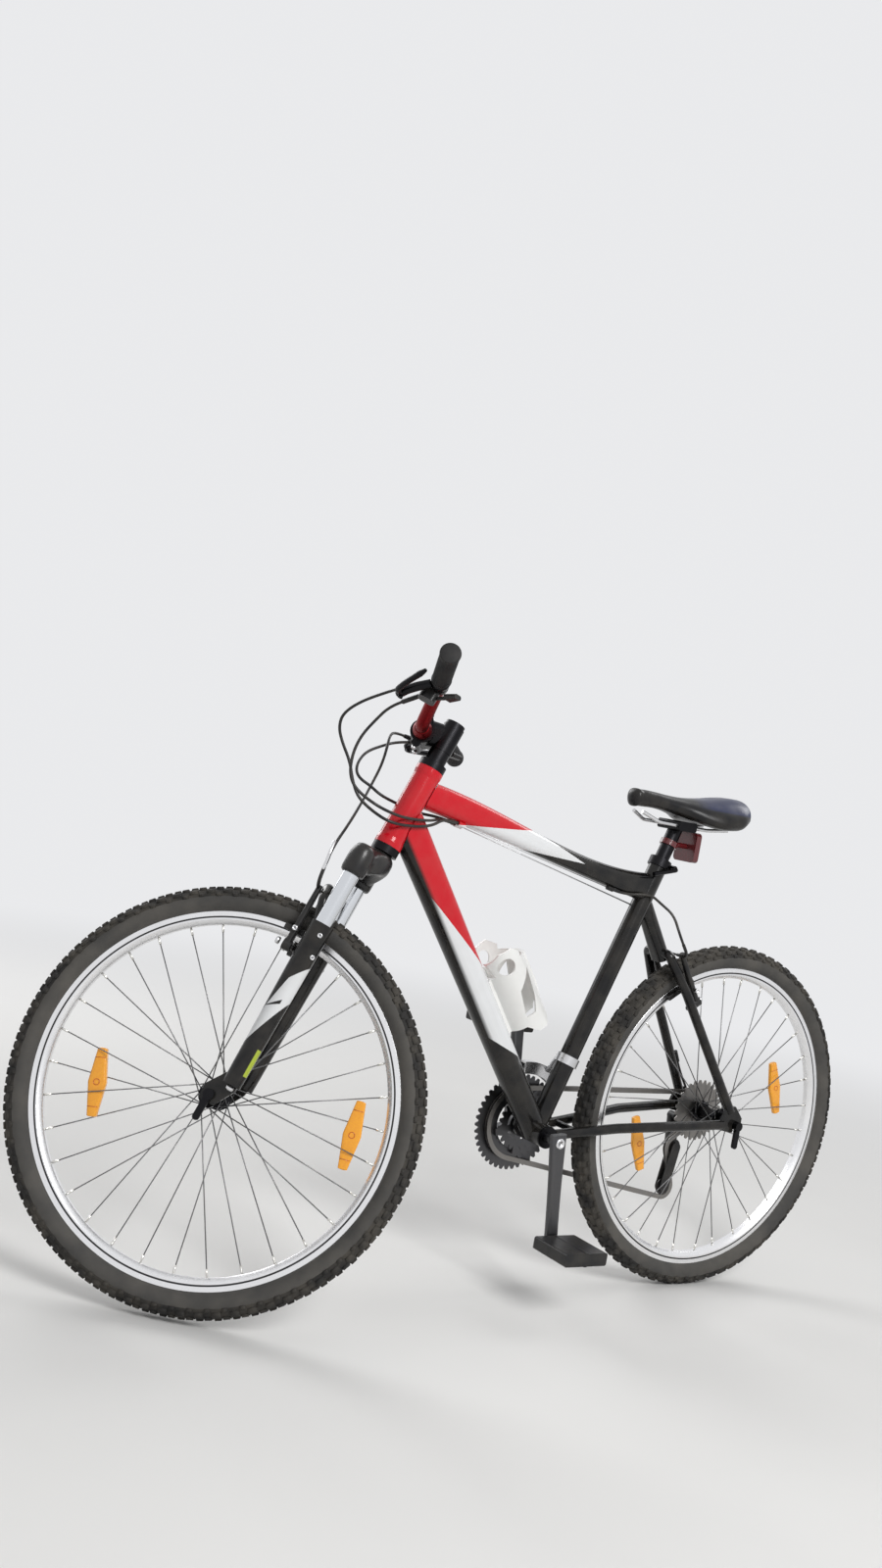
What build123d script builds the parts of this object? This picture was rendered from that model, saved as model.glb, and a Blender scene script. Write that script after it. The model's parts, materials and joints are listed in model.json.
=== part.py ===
"""A hardtail mountain bicycle with 26 inch wheels, a suspension fork and rim brakes.

X points forward, Y to the rider's left, Z up; the origin is the middle of the saddle's top.
The handlebar and front wheel stand turned to the rider's right, as the bicycle was parked.
"""
from build123d import *
import os
from math import asin, atan2, cos, degrees, hypot, pi, radians, sin, tan

os.makedirs("parts", exist_ok=True)

# Driving dimensions in mm and degrees. Wheels
RIM_RADIUS = 290.0
RIM_WIDTH = 24.0
RIM_DEPTH = 21.5
TYRE_HEIGHT = 41.0
TYRE_WIDTH = 46.0
FRONT_HUB_WIDTH = 100.0
REAR_HUB_WIDTH = 135.0
AXLE_RADIUS = 5.0
DROPOUT_THICK = 6.0
SPOKE_COUNT = 32
SPOKE_RADIUS = 1.1

# Frame
TYRE_TO_CRANK = 93.0
FRONT_CENTRE = 632.0
CRANK_DROP = 40.0
SADDLE_HEIGHT = 597.0
SADDLE_BEHIND_CRANK = 211.0
SEAT_ANGLE = 70.4
SEAT_TUBE_RADIUS = 17.4
SEAT_POST_RADIUS = 13.6
SEAT_POST_SHOWN = 71.5
HEAD_ANGLE = 67.5
HEAD_LENGTH = 145.5
HEAD_RADIUS = 22.0
STEERER_RADIUS = 14.3
TYRE_TO_HEAD = 143.5
STAY_RADIUS = 9.0
SHELL_RADIUS = 20.0
SHELL_WIDTH = 73.0

# Fork
FORK_RAKE = 41.5
STEER_REST = -40.0
CROWN_OFFSET = 18.0
CROWN_DEPTH = 34.0
STANCHION_SPREAD = 62.5
STANCHION_RADIUS = 14.0
LOWERS_RADIUS = 19.0
CUP_HEIGHT = 13.0

# Cockpit
STEM_REACH = 40.0
STEM_HEIGHT = 48.0
BAR_ABOVE_HEAD = 48.0
BAR_CLAMP_RADIUS = 15.9
BAR_RADIUS = 11.1
BAR_RISE = 44.0
BAR_UPSWEEP = 14.0
BAR_BACKSWEEP = 19.0
BAR_HALF = 285.0
GRIP_LENGTH = 115.0
GRIP_RADIUS = 16.0
LEVER_LENGTH = 92.0

# Drivetrain
PITCH = 12.7
CRANK_LENGTH = 170.0
CRANK_ANGLE = 84.0
CRANK_ARM_INNER = 62.0
CRANK_ARM_THICK = 14.0
SPINDLE_RADIUS = 8.5
PEDAL_AXLE_RADIUS = 5.0
PEDAL_LENGTH = 92.0
PEDAL_WIDTH = 88.0
CHAINLINE = 50.0
RING_TEETH = [22, 32, 42]
COG_TEETH = [11, 13, 15, 18, 21, 24, 28]
CHAIN_RING = 32
CHAIN_COG = 15
RING_SPACING = 8.0
COG_SPACING = 5.0
TOOTH_THICK = 2.0
CHAIN_GAP = 4.0
CHAIN_WIDTH = 7.0
CHAIN_DEPTH = 8.6
PULLEY_RADIUS = 20.5

# Rests, clearances and small stock
RUNNING = 0.1
SEAT_GAP = 0.3
CUT_GAP = 0.02
CABLE_RADIUS = 2.5
CAGE_WALL = 3.0
BOTTLE_RADIUS = 37.0

# What follows from them
TYRE_RADIUS = RIM_RADIUS + TYRE_HEIGHT
CRANK_AHEAD = TYRE_RADIUS + TYRE_TO_CRANK
WHEELBASE = CRANK_AHEAD + FRONT_CENTRE
SADDLE_SETBACK = CRANK_AHEAD - SADDLE_BEHIND_CRANK
RAIL_LEVEL = -56.0
RAIL_RADIUS = 3.5
RAIL_SPREAD = 22.0
POST_LENGTH = (SADDLE_HEIGHT + CRANK_DROP + RAIL_LEVEL) / sin(radians(SEAT_ANGLE))
SEAT_TUBE_TOP = POST_LENGTH - SEAT_POST_SHOWN
TOP_TUBE_MEETS = 103.0
DOWN_TUBE_MEETS = 56.0
TOP_TUBE_REAR = SEAT_TUBE_TOP - 67.0
STAYS_MEET = SEAT_TUBE_TOP - 83.0
AXLE_TO_HEAD = TYRE_RADIUS + TYRE_TO_HEAD
HEAD_TOP = AXLE_TO_HEAD + HEAD_LENGTH
CROWN_TOP = AXLE_TO_HEAD - CUP_HEIGHT - RUNNING
LOWERS_TOP = TYRE_RADIUS - 23.0
ARCH_LEVEL = TYRE_RADIUS + 22.0
BOSS_LEVEL = RIM_RADIUS - 35.0
BOSS_SPREAD = 40.0
BRAKE_TOP = RIM_RADIUS + 72.0
PAD_LEVEL = RIM_RADIUS - 6.5
STEM_LOW = HEAD_TOP + 35.0
COLUMN_TOP = STEM_LOW + STEM_HEIGHT + 6.0
STEM_CLAMP_LEVEL = HEAD_TOP + BAR_ABOVE_HEAD
DROPOUT_SPREAD = REAR_HUB_WIDTH / 2 + DROPOUT_THICK / 2
FORK_DROPOUT_SPREAD = FRONT_HUB_WIDTH / 2 + DROPOUT_THICK / 2
LEFT = Vector(0, 1, 0)
UPWARD = Vector(0, 0, 1)
AHEAD = Vector(1, 0, 0)


def rear(x, y, z):
    """A point given from the rear axle: forward, left, up."""
    return Vector(x - SADDLE_SETBACK, y, z - SADDLE_HEIGHT)


REAR_AXLE = rear(0, 0, 0)
HEAD_UP = Vector(-cos(radians(HEAD_ANGLE)), 0, sin(radians(HEAD_ANGLE)))
HEAD_FORWARD = Vector(sin(radians(HEAD_ANGLE)), 0, cos(radians(HEAD_ANGLE)))
STEER_FOOT = rear(WHEELBASE, 0, 0) - HEAD_FORWARD * FORK_RAKE
STRAIGHT = Plane(origin=STEER_FOOT, x_dir=HEAD_FORWARD, z_dir=HEAD_UP)
TURN = radians(STEER_REST)
STEER = Plane(origin=STEER_FOOT, x_dir=HEAD_FORWARD * cos(TURN) + LEFT * sin(TURN), z_dir=HEAD_UP)
CRANK_AXIS = rear(CRANK_AHEAD, 0, -CRANK_DROP)
SEAT_UP = Vector(-cos(radians(SEAT_ANGLE)), 0, sin(radians(SEAT_ANGLE)))
SEAT = Plane(origin=CRANK_AXIS, x_dir=LEFT, z_dir=SEAT_UP)


def steer(x, y, z):
    """A point of the steering frame: forward, left, up the steering axis from the axle's level."""
    return STEER.from_local_coords(Vector(x, y, z))


def turned(x, y, z):
    """A direction of the steering frame."""
    return steer(x, y, z) - STEER.origin


def across(start, end, side=LEFT):
    """The plane at start that a run towards end goes through squarely."""
    return Plane(origin=start, x_dir=side, z_dir=end - start)


def side_plane(centre, y):
    """A plane that faces the rider's right, x forward and y up, at a distance to the left."""
    return Plane(origin=(centre.X, y, centre.Z), x_dir=AHEAD, z_dir=-LEFT)


def finish(piece, name):
    piece.label = name
    export_step(piece, f"parts/{name}.step")


def round_bar(start, end, radius):
    """A straight round bar."""
    run = end - start
    side = LEFT if abs(run.normalized().Y) < 0.9 else AHEAD
    with BuildPart() as bar:
        with BuildSketch(across(start, end, side)):
            Circle(radius)
        extrude(amount=run.length)
    return bar.part


def bent_bar(points, bends, radius, side=LEFT):
    """A round bar along straight runs joined by tangent arcs."""
    with BuildPart() as bar:
        with BuildLine() as route:
            FilletPolyline(*points, radius=bends)
        with BuildSketch(across(points[0], points[1], side)):
            Circle(radius)
        sweep(path=route.wire())
    return bar.part


def cable(points, side=LEFT):
    """A cable housing whose arcs are as large as their two runs allow."""
    bends = []
    for before, corner, after in zip(points, points[1:], points[2:]):
        run = min((corner - before).length, (after - corner).length)
        turn = radians((corner - before).get_angle(after - corner))
        bends.append(0.45 * run / tan(turn / 2))
    return bent_bar(points, bends, CABLE_RADIUS, side)


def tapered(start, end, side, rows):
    """A loft of rounded rectangles. Rows: share of the length, width, depth, rise."""
    run = end - start
    up = run.cross(side).normalized()
    with BuildPart() as tube:
        for share, width, depth, rise in rows:
            with BuildSketch(Plane(origin=start + run * share + up * rise, x_dir=side, z_dir=run)):
                RectangleRounded(width, depth, 0.46 * min(width, depth))
        loft()
    return tube.part


# Frame: the head tube is hollow, with a thicker ring at each end
HEAD_LOW = STEER_FOOT + HEAD_UP * AXLE_TO_HEAD
HEAD_BORE = STEERER_RADIUS + 3.0
HEAD_RING = 8.0
RING_RADIUS = HEAD_RADIUS + 1.5
with BuildPart() as head_tube:
    with BuildSketch(Plane(origin=HEAD_LOW, x_dir=HEAD_FORWARD, z_dir=-LEFT)):
        with BuildLine():
            Polyline(
                (HEAD_BORE, 0), (RING_RADIUS, 0), (RING_RADIUS, HEAD_RING), (HEAD_RADIUS, 2 * HEAD_RING),
                (HEAD_RADIUS, HEAD_LENGTH - 2 * HEAD_RING), (RING_RADIUS, HEAD_LENGTH - HEAD_RING),
                (RING_RADIUS, HEAD_LENGTH), (HEAD_BORE, HEAD_LENGTH), close=True,
            )
        make_face()
    revolve(axis=Axis(HEAD_LOW, HEAD_UP))
finish(head_tube.part, "head_tube")

with BuildPart() as seat_tube:
    with BuildSketch(SEAT):
        Circle(SEAT_TUBE_RADIUS)
    extrude(amount=SEAT_TUBE_TOP)
    with BuildSketch(SEAT.offset(SEAT_TUBE_TOP)):
        Circle(SEAT_POST_RADIUS)
    extrude(amount=-SEAT_TUBE_TOP / 4, mode=Mode.SUBTRACT)
    with BuildSketch(side_plane(CRANK_AXIS, 0)):
        Circle(SHELL_RADIUS + CUT_GAP)
    extrude(amount=SHELL_WIDTH, both=True, mode=Mode.SUBTRACT)
finish(seat_tube.part, "seat_tube")

# What the tubes that meet the head tube, seat tube and shell are cut back by
with BuildPart() as head_space:
    with BuildSketch(STRAIGHT.offset(AXLE_TO_HEAD - HEAD_LENGTH / 2)):
        Circle(RING_RADIUS + CUT_GAP)
    extrude(amount=2 * HEAD_LENGTH)
    with BuildSketch(Plane(origin=HEAD_LOW, x_dir=LEFT, z_dir=HEAD_FORWARD)):
        Rectangle(6 * HEAD_RADIUS, 6 * HEAD_LENGTH)
    extrude(amount=HEAD_LENGTH)
with BuildPart() as seat_space:
    with BuildSketch(SEAT):
        Circle(SEAT_TUBE_RADIUS + CUT_GAP)
    extrude(amount=SEAT_TUBE_TOP)
with BuildPart() as behind_seat:
    with BuildSketch(Plane(origin=CRANK_AXIS, x_dir=LEFT, z_dir=SEAT_UP.cross(LEFT))):
        Rectangle(6 * SEAT_TUBE_RADIUS, 2 * SEAT_TUBE_TOP)
    extrude(amount=HEAD_LENGTH)
with BuildPart() as shell_space:
    with BuildSketch(side_plane(CRANK_AXIS, 0)):
        Circle(SHELL_RADIUS + CUT_GAP)
    extrude(amount=SHELL_WIDTH / 2, both=True)

# share of the length from the head tube, width, depth, fall of the middle
TOP_TUBE_SECTIONS = [(0.0, 36.0, 47.0, 0.0), (0.45, 34.0, 38.0, 0.0), (0.85, 31.0, 40.0, 0.0), (1.0, 28.0, 56.0, 8.0)]
DOWN_TUBE_SECTIONS = [(0.0, 42.0, 61.0, 0.0), (0.4, 44.0, 54.0, 0.0), (1.0, 42.0, 46.0, 0.0)]
TOP_FRONT = HEAD_LOW + HEAD_UP * TOP_TUBE_MEETS
TOP_REAR = CRANK_AXIS + SEAT_UP * TOP_TUBE_REAR
DOWN_FRONT = HEAD_LOW + HEAD_UP * DOWN_TUBE_MEETS
STOP_LENGTH = 14.0
STOP_RADIUS = CABLE_RADIUS + 1.8
STOP_SHARE = 0.165
# left of the middle, below the tube's middle: two stops for housings that pass the head tube on the left
STOP_PLACES = [(11.0, 22.0), (1.5, 24.5), (-8.0, 23.0)]
top_run = (TOP_REAR - TOP_FRONT).normalized()
top_down = top_run.cross(LEFT)


def stop_point(left, below, along=0.0):
    """The mouth of a cable stop under the top tube."""
    start = TOP_FRONT + (TOP_REAR - TOP_FRONT) * STOP_SHARE
    return start + top_run * along + top_down * below + LEFT * left


REAR_STOP_SHARE = 0.84
REAR_STOP_BELOW = 22.0
rear_stop = TOP_FRONT + (TOP_REAR - TOP_FRONT) * REAR_STOP_SHARE + top_down * REAR_STOP_BELOW + LEFT * 10.0

with BuildPart() as top_tube:
    add(tapered(TOP_FRONT, TOP_REAR, LEFT, [(at, w, d, -fall) for at, w, d, fall in TOP_TUBE_SECTIONS]))
    add(head_space.part, mode=Mode.SUBTRACT)
    add(seat_space.part, mode=Mode.SUBTRACT)
    add(behind_seat.part, mode=Mode.SUBTRACT)
    for left, below in STOP_PLACES:
        add(round_bar(stop_point(left, below), stop_point(left, below, STOP_LENGTH), STOP_RADIUS))
    add(round_bar(rear_stop, rear_stop - top_run * STOP_LENGTH, STOP_RADIUS))
finish(top_tube.part, "top_tube")

with BuildPart() as down_tube:
    add(tapered(DOWN_FRONT, CRANK_AXIS, LEFT, DOWN_TUBE_SECTIONS))
    for space in (head_space, seat_space, behind_seat, shell_space):
        add(space.part, mode=Mode.SUBTRACT)
finish(down_tube.part, "down_tube")

SHELL_BORE = SPINDLE_RADIUS + 8.0
CUP_THICK = 3.0
with BuildPart() as bottom_bracket_shell:
    with BuildSketch(side_plane(CRANK_AXIS, 0)):
        Circle(SHELL_RADIUS)
        Circle(SHELL_BORE, mode=Mode.SUBTRACT)
    extrude(amount=SHELL_WIDTH / 2, both=True)
finish(bottom_bracket_shell.part, "bottom_bracket_shell")

with BuildPart() as bottom_bracket:
    with BuildSketch(Plane(origin=CRANK_AXIS, x_dir=AHEAD, z_dir=UPWARD)):
        inner, half, outer = SPINDLE_RADIUS + RUNNING, SHELL_WIDTH / 2, SHELL_WIDTH / 2 + CUP_THICK
        with BuildLine():
            Polyline(
                (inner, -outer), (SHELL_RADIUS, -outer), (SHELL_RADIUS, -half), (SHELL_BORE, -half),
                (SHELL_BORE, half), (SHELL_RADIUS, half), (SHELL_RADIUS, outer), (inner, outer), close=True,
            )
        make_face()
    revolve(axis=Axis(CRANK_AXIS, LEFT))
finish(bottom_bracket.part, "bottom_bracket")

# Rear stays: the seat stays fork from one short tube above the tyre
STAY_HIGH = CRANK_AXIS + SEAT_UP * STAYS_MEET
STAY_ANGLE = atan2(STAY_HIGH.Z - REAR_AXLE.Z, STAY_HIGH.X - REAR_AXLE.X)
CROTCH = TYRE_RADIUS + 38.0


def stay_point(along, side, ahead=0.0):
    """A point by its distance from the rear axle up the seat stays' line."""
    return rear(
        along * cos(STAY_ANGLE) + ahead * sin(STAY_ANGLE), side,
        along * sin(STAY_ANGLE) - ahead * cos(STAY_ANGLE),
    )


HANGER_DROP = 36.0
TAB = 34.0
with BuildPart() as dropouts:
    for side in (1, -1):
        with BuildSketch(side_plane(REAR_AXLE, side * DROPOUT_SPREAD)):
            with BuildLine():
                Polyline(
                    (-14, -12), (10, -14), (TAB + 2, -10), (TAB + 4, 8), (TAB * cos(STAY_ANGLE) + 8, TAB),
                    (TAB * cos(STAY_ANGLE) - 12, TAB + 2), (-14, 14), close=True,
                )
            make_face()
            Circle(AXLE_RADIUS, mode=Mode.SUBTRACT)
            with Locations((0, -10)):
                Rectangle(2 * AXLE_RADIUS, 20, mode=Mode.SUBTRACT)
            if side < 0:
                with BuildLine():
                    Polyline((6, -12), (16, -13), (14, -HANGER_DROP), (0, -HANGER_DROP), close=True)
                make_face()
        extrude(amount=DROPOUT_THICK / 2, both=True)
finish(dropouts.part, "dropouts")

# distance from the axle up the stay, distance from the middle
SEAT_LEG = [(30.0, DROPOUT_SPREAD), (TYRE_RADIUS - 151.0, 56.0), (TYRE_RADIUS - 46.0, 47.0),
            (CROTCH - 4.0, 30.0), (CROTCH, 8.0)]
SEAT_LEG_BENDS = [120.0, 120.0, 9.5]
STAY_STOP = 96.0
STAY_STOP_OUT = 64.0
stay_stop_ends = [stay_point(STAY_STOP + along, 0.12 * along - STAY_STOP_OUT, 0.5 - STAY_RADIUS - STOP_RADIUS)
                  for along in (0.0, 24.0)]
with BuildPart() as seat_stays:
    add(tapered(stay_point(CROTCH - 16.0, 0), STAY_HIGH, LEFT, [(0.0, 38.0, 26.0, 0.0), (1.0, 30.0, 30.0, 0.0)]))
    for side in (1, -1):
        add(bent_bar([stay_point(along, side * y) for along, y in SEAT_LEG], SEAT_LEG_BENDS, STAY_RADIUS))
        add(round_bar(stay_point(BOSS_LEVEL, side * BOSS_SPREAD), stay_point(BOSS_LEVEL, side * BOSS_SPREAD, -30), 4.0))
        add(round_bar(stay_point(BOSS_LEVEL, side * (BOSS_SPREAD - 2)), stay_point(BOSS_LEVEL, side * (BOSS_SPREAD + 10)), 6.0))
    add(round_bar(*stay_stop_ends, STOP_RADIUS))
    add(seat_space.part, mode=Mode.SUBTRACT)
    add(dropouts.part, mode=Mode.SUBTRACT)
finish(seat_stays.part, "seat_stays")

# forward of the axle, distance from the middle, up
CHAIN_LEG = [(30.0, DROPOUT_SPREAD, 0.0), (TYRE_RADIUS - 151.0, 61.0, -10.0), (TYRE_RADIUS - 63.0, 43.0, -20.0),
             (CRANK_AHEAD - 26.0, 27.0, -38.0)]
BRIDGE_AHEAD = TYRE_RADIUS + 21.0
with BuildPart() as chain_stays:
    for side in (1, -1):
        add(bent_bar([rear(x, side * y, z) for x, y, z in CHAIN_LEG], [100.0, 60.0], STAY_RADIUS))
    add(round_bar(rear(BRIDGE_AHEAD, 32, -31.5), rear(BRIDGE_AHEAD, -32, -31.5), 6.0))
    add(shell_space.part, mode=Mode.SUBTRACT)
    add(dropouts.part, mode=Mode.SUBTRACT)
finish(chain_stays.part, "chain_stays")

with BuildPart() as headset:
    for low in (AXLE_TO_HEAD - CUP_HEIGHT, HEAD_TOP):
        with BuildSketch(STRAIGHT.offset(low)):
            Circle(HEAD_RADIUS + 1.0)
            Circle(STEERER_RADIUS + RUNNING, mode=Mode.SUBTRACT)
        extrude(amount=CUP_HEIGHT)
finish(headset.part, "headset")

# Saddle, its rails and the post. Rows: place along X, half width, top, bottom
SADDLE_ROWS = [(-138.0, 34.0, -6.0, -34.0), (-112.0, 68.0, 3.0, -46.0), (-60.0, 72.0, 4.0, -48.0),
               (10.0, 40.0, 0.0, -42.0), (80.0, 22.0, -4.0, -42.0), (130.0, 17.0, -8.0, -38.0)]
with BuildPart() as saddle:
    for x, half, top, bottom in SADDLE_ROWS:
        with BuildSketch(Plane(origin=(x, 0, (top + bottom) / 2), x_dir=LEFT, z_dir=AHEAD)):
            RectangleRounded(2 * half, top - bottom, 0.45 * (top - bottom))
    loft()
finish(saddle.part, "saddle")

# place along X, distance from the middle, level
RAIL_POINTS = [(105.0, 12.0, RAIL_LEVEL + 13.0), (70.0, RAIL_SPREAD, RAIL_LEVEL), (-50.0, RAIL_SPREAD, RAIL_LEVEL),
               (-92.0, RAIL_SPREAD + 12.0, RAIL_LEVEL + 6.5)]
with BuildPart() as saddle_rails:
    for side in (1, -1):
        add(bent_bar([Vector(x, side * y, z) for x, y, z in RAIL_POINTS], [20.0, 20.0], RAIL_RADIUS))
    add(saddle.part, mode=Mode.SUBTRACT)
finish(saddle_rails.part, "saddle_rails")

POST_INSERT = 100.0
post_top = CRANK_AXIS + SEAT_UP * POST_LENGTH
with BuildPart() as seat_post:
    with BuildSketch(SEAT.offset(SEAT_TUBE_TOP - POST_INSERT)):
        Circle(SEAT_POST_RADIUS)
    extrude(amount=SEAT_POST_SHOWN + POST_INSERT - 3.0)
    with BuildSketch(Plane(origin=post_top, x_dir=AHEAD, z_dir=LEFT)):
        RectangleRounded(44.0, 18.0, 5.0)
    extrude(amount=RAIL_SPREAD + 8.0, both=True)
    add(saddle_rails.part, mode=Mode.SUBTRACT)
finish(seat_post.part, "seat_post")

COLLAR_HEIGHT = 16.0
COLLAR_RADIUS = SEAT_TUBE_RADIUS + 3.5
clamp_back = CRANK_AXIS + SEAT_UP * (SEAT_TUBE_TOP - COLLAR_HEIGHT / 2) - AHEAD * (COLLAR_RADIUS + 3.5) - UPWARD * 6
with BuildPart() as seat_clamp:
    with BuildSketch(SEAT.offset(SEAT_TUBE_TOP - COLLAR_HEIGHT)):
        Circle(COLLAR_RADIUS)
    extrude(amount=COLLAR_HEIGHT)
    add(round_bar(clamp_back - LEFT * 18, clamp_back + LEFT * 18, 6.0))
    add(bent_bar([clamp_back + LEFT * 16, clamp_back + Vector(4, 26, -1), clamp_back + Vector(58, 27, -14)],
                 [5.0], 4.0, AHEAD))
    with BuildSketch(SEAT.offset(SEAT_TUBE_TOP - 3 * COLLAR_HEIGHT)):
        Circle(SEAT_TUBE_RADIUS)
    extrude(amount=4 * COLLAR_HEIGHT, mode=Mode.SUBTRACT)
finish(seat_clamp.part, "seat_clamp")

# Rear reflector on a band round the seat post
REFLECTOR_BACK = 42.0
REFLECTOR_WIDTH = 55.0
REFLECTOR_HEIGHT = 56.0
band_level = POST_LENGTH - 38.0
band_point = CRANK_AXIS + SEAT_UP * band_level
with BuildPart() as rear_reflector:
    with BuildSketch(SEAT.offset(band_level - 5.0)):
        Circle(SEAT_POST_RADIUS + 3.0)
    extrude(amount=10.0)
    add(round_bar(band_point, band_point - AHEAD * REFLECTOR_BACK, 5.0))
    with BuildSketch(Plane(origin=band_point - AHEAD * REFLECTOR_BACK, x_dir=LEFT, z_dir=-AHEAD)):
        RectangleRounded(REFLECTOR_WIDTH, REFLECTOR_HEIGHT, 8.0)
    extrude(amount=12.0)
    with BuildSketch(SEAT.offset(band_level - 30.0)):
        Circle(SEAT_POST_RADIUS)
    extrude(amount=60.0, mode=Mode.SUBTRACT)
finish(rear_reflector.part, "rear_reflector")

# Wheels: the plane's z is the axle, towards the rider's left, and its y points down
WHEEL_PLANES = {
    "front": Plane(origin=steer(FORK_RAKE, 0, 0), x_dir=turned(1, 0, 0), z_dir=turned(0, 1, 0)),
    "rear": Plane(origin=REAR_AXLE, x_dir=AHEAD, z_dir=LEFT),
}
half_tyre = TYRE_WIDTH / 2
half_rim = RIM_WIDTH / 2
BEAD = half_rim - 2.6
# radius, distance from the wheel's middle
TYRE_PROFILE = [(TYRE_RADIUS, 0.35 * half_tyre), (TYRE_RADIUS - 0.13 * TYRE_HEIGHT, 0.76 * half_tyre),
                (TYRE_RADIUS - 0.51 * TYRE_HEIGHT, half_tyre), (RIM_RADIUS + 1.0, BEAD), (RIM_RADIUS - 5.7, BEAD)]
RIM_PROFILE = [(RIM_RADIUS, half_rim), (RIM_RADIUS - 6.0, BEAD + SEAT_GAP)]
RIM_WALL = [(RIM_RADIUS - RIM_DEPTH, 5.0), (RIM_RADIUS - 13.0, half_rim)]
HUB_FLANGE = 21.0
HUB_BODY = 13.0
HUB_END = 12.0
FLANGE_HALF = 1.2
FLANGE_AT = {"front": (33.0, 33.0), "rear": (32.0, 20.0)}
HUB_HALF = {"front": FRONT_HUB_WIDTH / 2, "rear": REAR_HUB_WIDTH / 2}
LOCK_NUT = 6.0
NUT_RADIUS = 8.5
SPOKE_LEAD = 78.0
SPOKE_OFFSET = 3.8
# Amber spoke reflectors by wheel: angle, distance from the axle, half thickness up to the spokes
AMBER_PLACES = {"front": [(22.0, 187.0, 8.0), (193.0, 222.0, 4.6)], "rear": [(199.0, 180.0, 4.95), (19.0, 180.0, 4.95)]}
AMBER_LENGTH = 108.0
AMBER_WIDTH = 30.0


def ring_about(plane, points):
    """A closed profile of (radius, distance along the axle) turned about a wheel's axle."""
    with BuildPart() as ring:
        with BuildSketch(Plane(origin=plane.origin, x_dir=plane.x_dir, z_dir=-plane.y_dir)):
            with BuildLine():
                Polyline(*points, close=True)
            make_face()
        revolve(axis=Axis(plane.origin, plane.z_dir))
    return ring.part


def spokes_of(plane, flange_left, flange_right):
    """Crossed spokes from both flanges to the rim, as slim prisms."""
    hub_r, rim_r = HUB_FLANGE - 3.0, RIM_RADIUS - RIM_DEPTH - SEAT_GAP
    with BuildPart() as spokes:
        for index in range(SPOKE_COUNT):
            left = 1 if index % 2 == 0 else -1
            lead = 1 if (index // 2) % 2 == 0 else -1
            lateral = (flange_left if left > 0 else -flange_right) + lead * SPOKE_OFFSET
            rim_angle = 2 * pi * (index + 0.5) / SPOKE_COUNT
            hub_angle = rim_angle + lead * radians(SPOKE_LEAD)
            start = plane.from_local_coords(Vector(hub_r * cos(hub_angle), hub_r * sin(hub_angle), lateral))
            end = plane.from_local_coords(Vector(rim_r * cos(rim_angle), rim_r * sin(rim_angle), left * 2.5))
            with BuildSketch(across(start, end, plane.x_dir.cross(end - start))):
                RegularPolygon(SPOKE_RADIUS, 5)
            extrude(amount=(end - start).length)
    return spokes.part


def skewer_of(plane, hub_half):
    """The axle with its lock nuts and the quick-release nut and lever, which stay with the dropouts."""
    out = hub_half + DROPOUT_THICK
    body = hub_half - LOCK_NUT
    with BuildPart() as skewer:
        add(round_bar(plane.origin - plane.z_dir * out, plane.origin + plane.z_dir * out, AXLE_RADIUS - SEAT_GAP))
        add(round_bar(plane.origin - plane.z_dir * body, plane.origin + plane.z_dir * body, AXLE_RADIUS))
        # nearer end, farther end, radius
        for near, far, radius in [(body + 0.5, hub_half, NUT_RADIUS + 0.5), (out, out + 11.0, NUT_RADIUS)]:
            for low in (near, -far):
                with BuildSketch(plane.offset(low)):
                    Circle(radius)
                extrude(amount=far - near)
        with BuildSketch(plane.offset(out + 3.0)):
            with Locations((0, 20)):
                RectangleRounded(11.0, 46.0, 5.0)
        extrude(amount=6.0)
    return skewer.part


def reflectors_of(plane, places):
    """Long lens-shaped reflectors that lie between the spokes, square to the wheel's radius."""
    ends = [(-AMBER_WIDTH / 4, AMBER_LENGTH / 2), (AMBER_WIDTH / 4, AMBER_LENGTH / 2)]
    low = [(x, -y) for x, y in reversed(ends)]
    with BuildPart() as reflectors:
        for angle, radius, half in places:
            with BuildSketch(plane):
                with PolarLocations(radius, 1, angle):
                    Polygon(*ends, (AMBER_WIDTH / 2, 0), *low, (-AMBER_WIDTH / 2, 0), align=None)
            extrude(amount=half, both=True)
    return reflectors.part


for wheel, plane in WHEEL_PLANES.items():
    finish(ring_about(plane, TYRE_PROFILE + [(r, -y) for r, y in reversed(TYRE_PROFILE)]), f"{wheel}_tyre")
    rim_points = RIM_PROFILE + [(r, -y) for r, y in reversed(RIM_PROFILE)]
    rim_points += [(r, -y) for r, y in reversed(RIM_WALL)] + RIM_WALL
    finish(ring_about(plane, rim_points), f"{wheel}_rim")
    flange_left, flange_right = FLANGE_AT[wheel]
    half, bore = HUB_HALF[wheel] - LOCK_NUT, AXLE_RADIUS + RUNNING
    hub_points = [
        (bore, half), (HUB_END, half), (HUB_END, flange_left + FLANGE_HALF), (HUB_FLANGE, flange_left + FLANGE_HALF),
        (HUB_FLANGE, flange_left - FLANGE_HALF), (HUB_BODY, flange_left - 3), (HUB_BODY, 3 - flange_right),
        (HUB_FLANGE, FLANGE_HALF - flange_right), (HUB_FLANGE, -flange_right - FLANGE_HALF),
        (HUB_END, -flange_right - FLANGE_HALF), (HUB_END, -half), (bore, -half),
    ]
    finish(ring_about(plane, hub_points), f"{wheel}_hub")
    finish(spokes_of(plane, flange_left, flange_right), f"{wheel}_spokes")
    finish(skewer_of(plane, HUB_HALF[wheel]), f"{wheel}_skewer")
    finish(reflectors_of(plane, AMBER_PLACES[wheel]), f"{wheel}_reflectors")


# Toothed sprockets: rows of share of a pitch, height above the pitch circle
TOOTH_ROWS = [(0.0, -4.4), (0.34, 3.2), (0.66, 3.2)]


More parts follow.
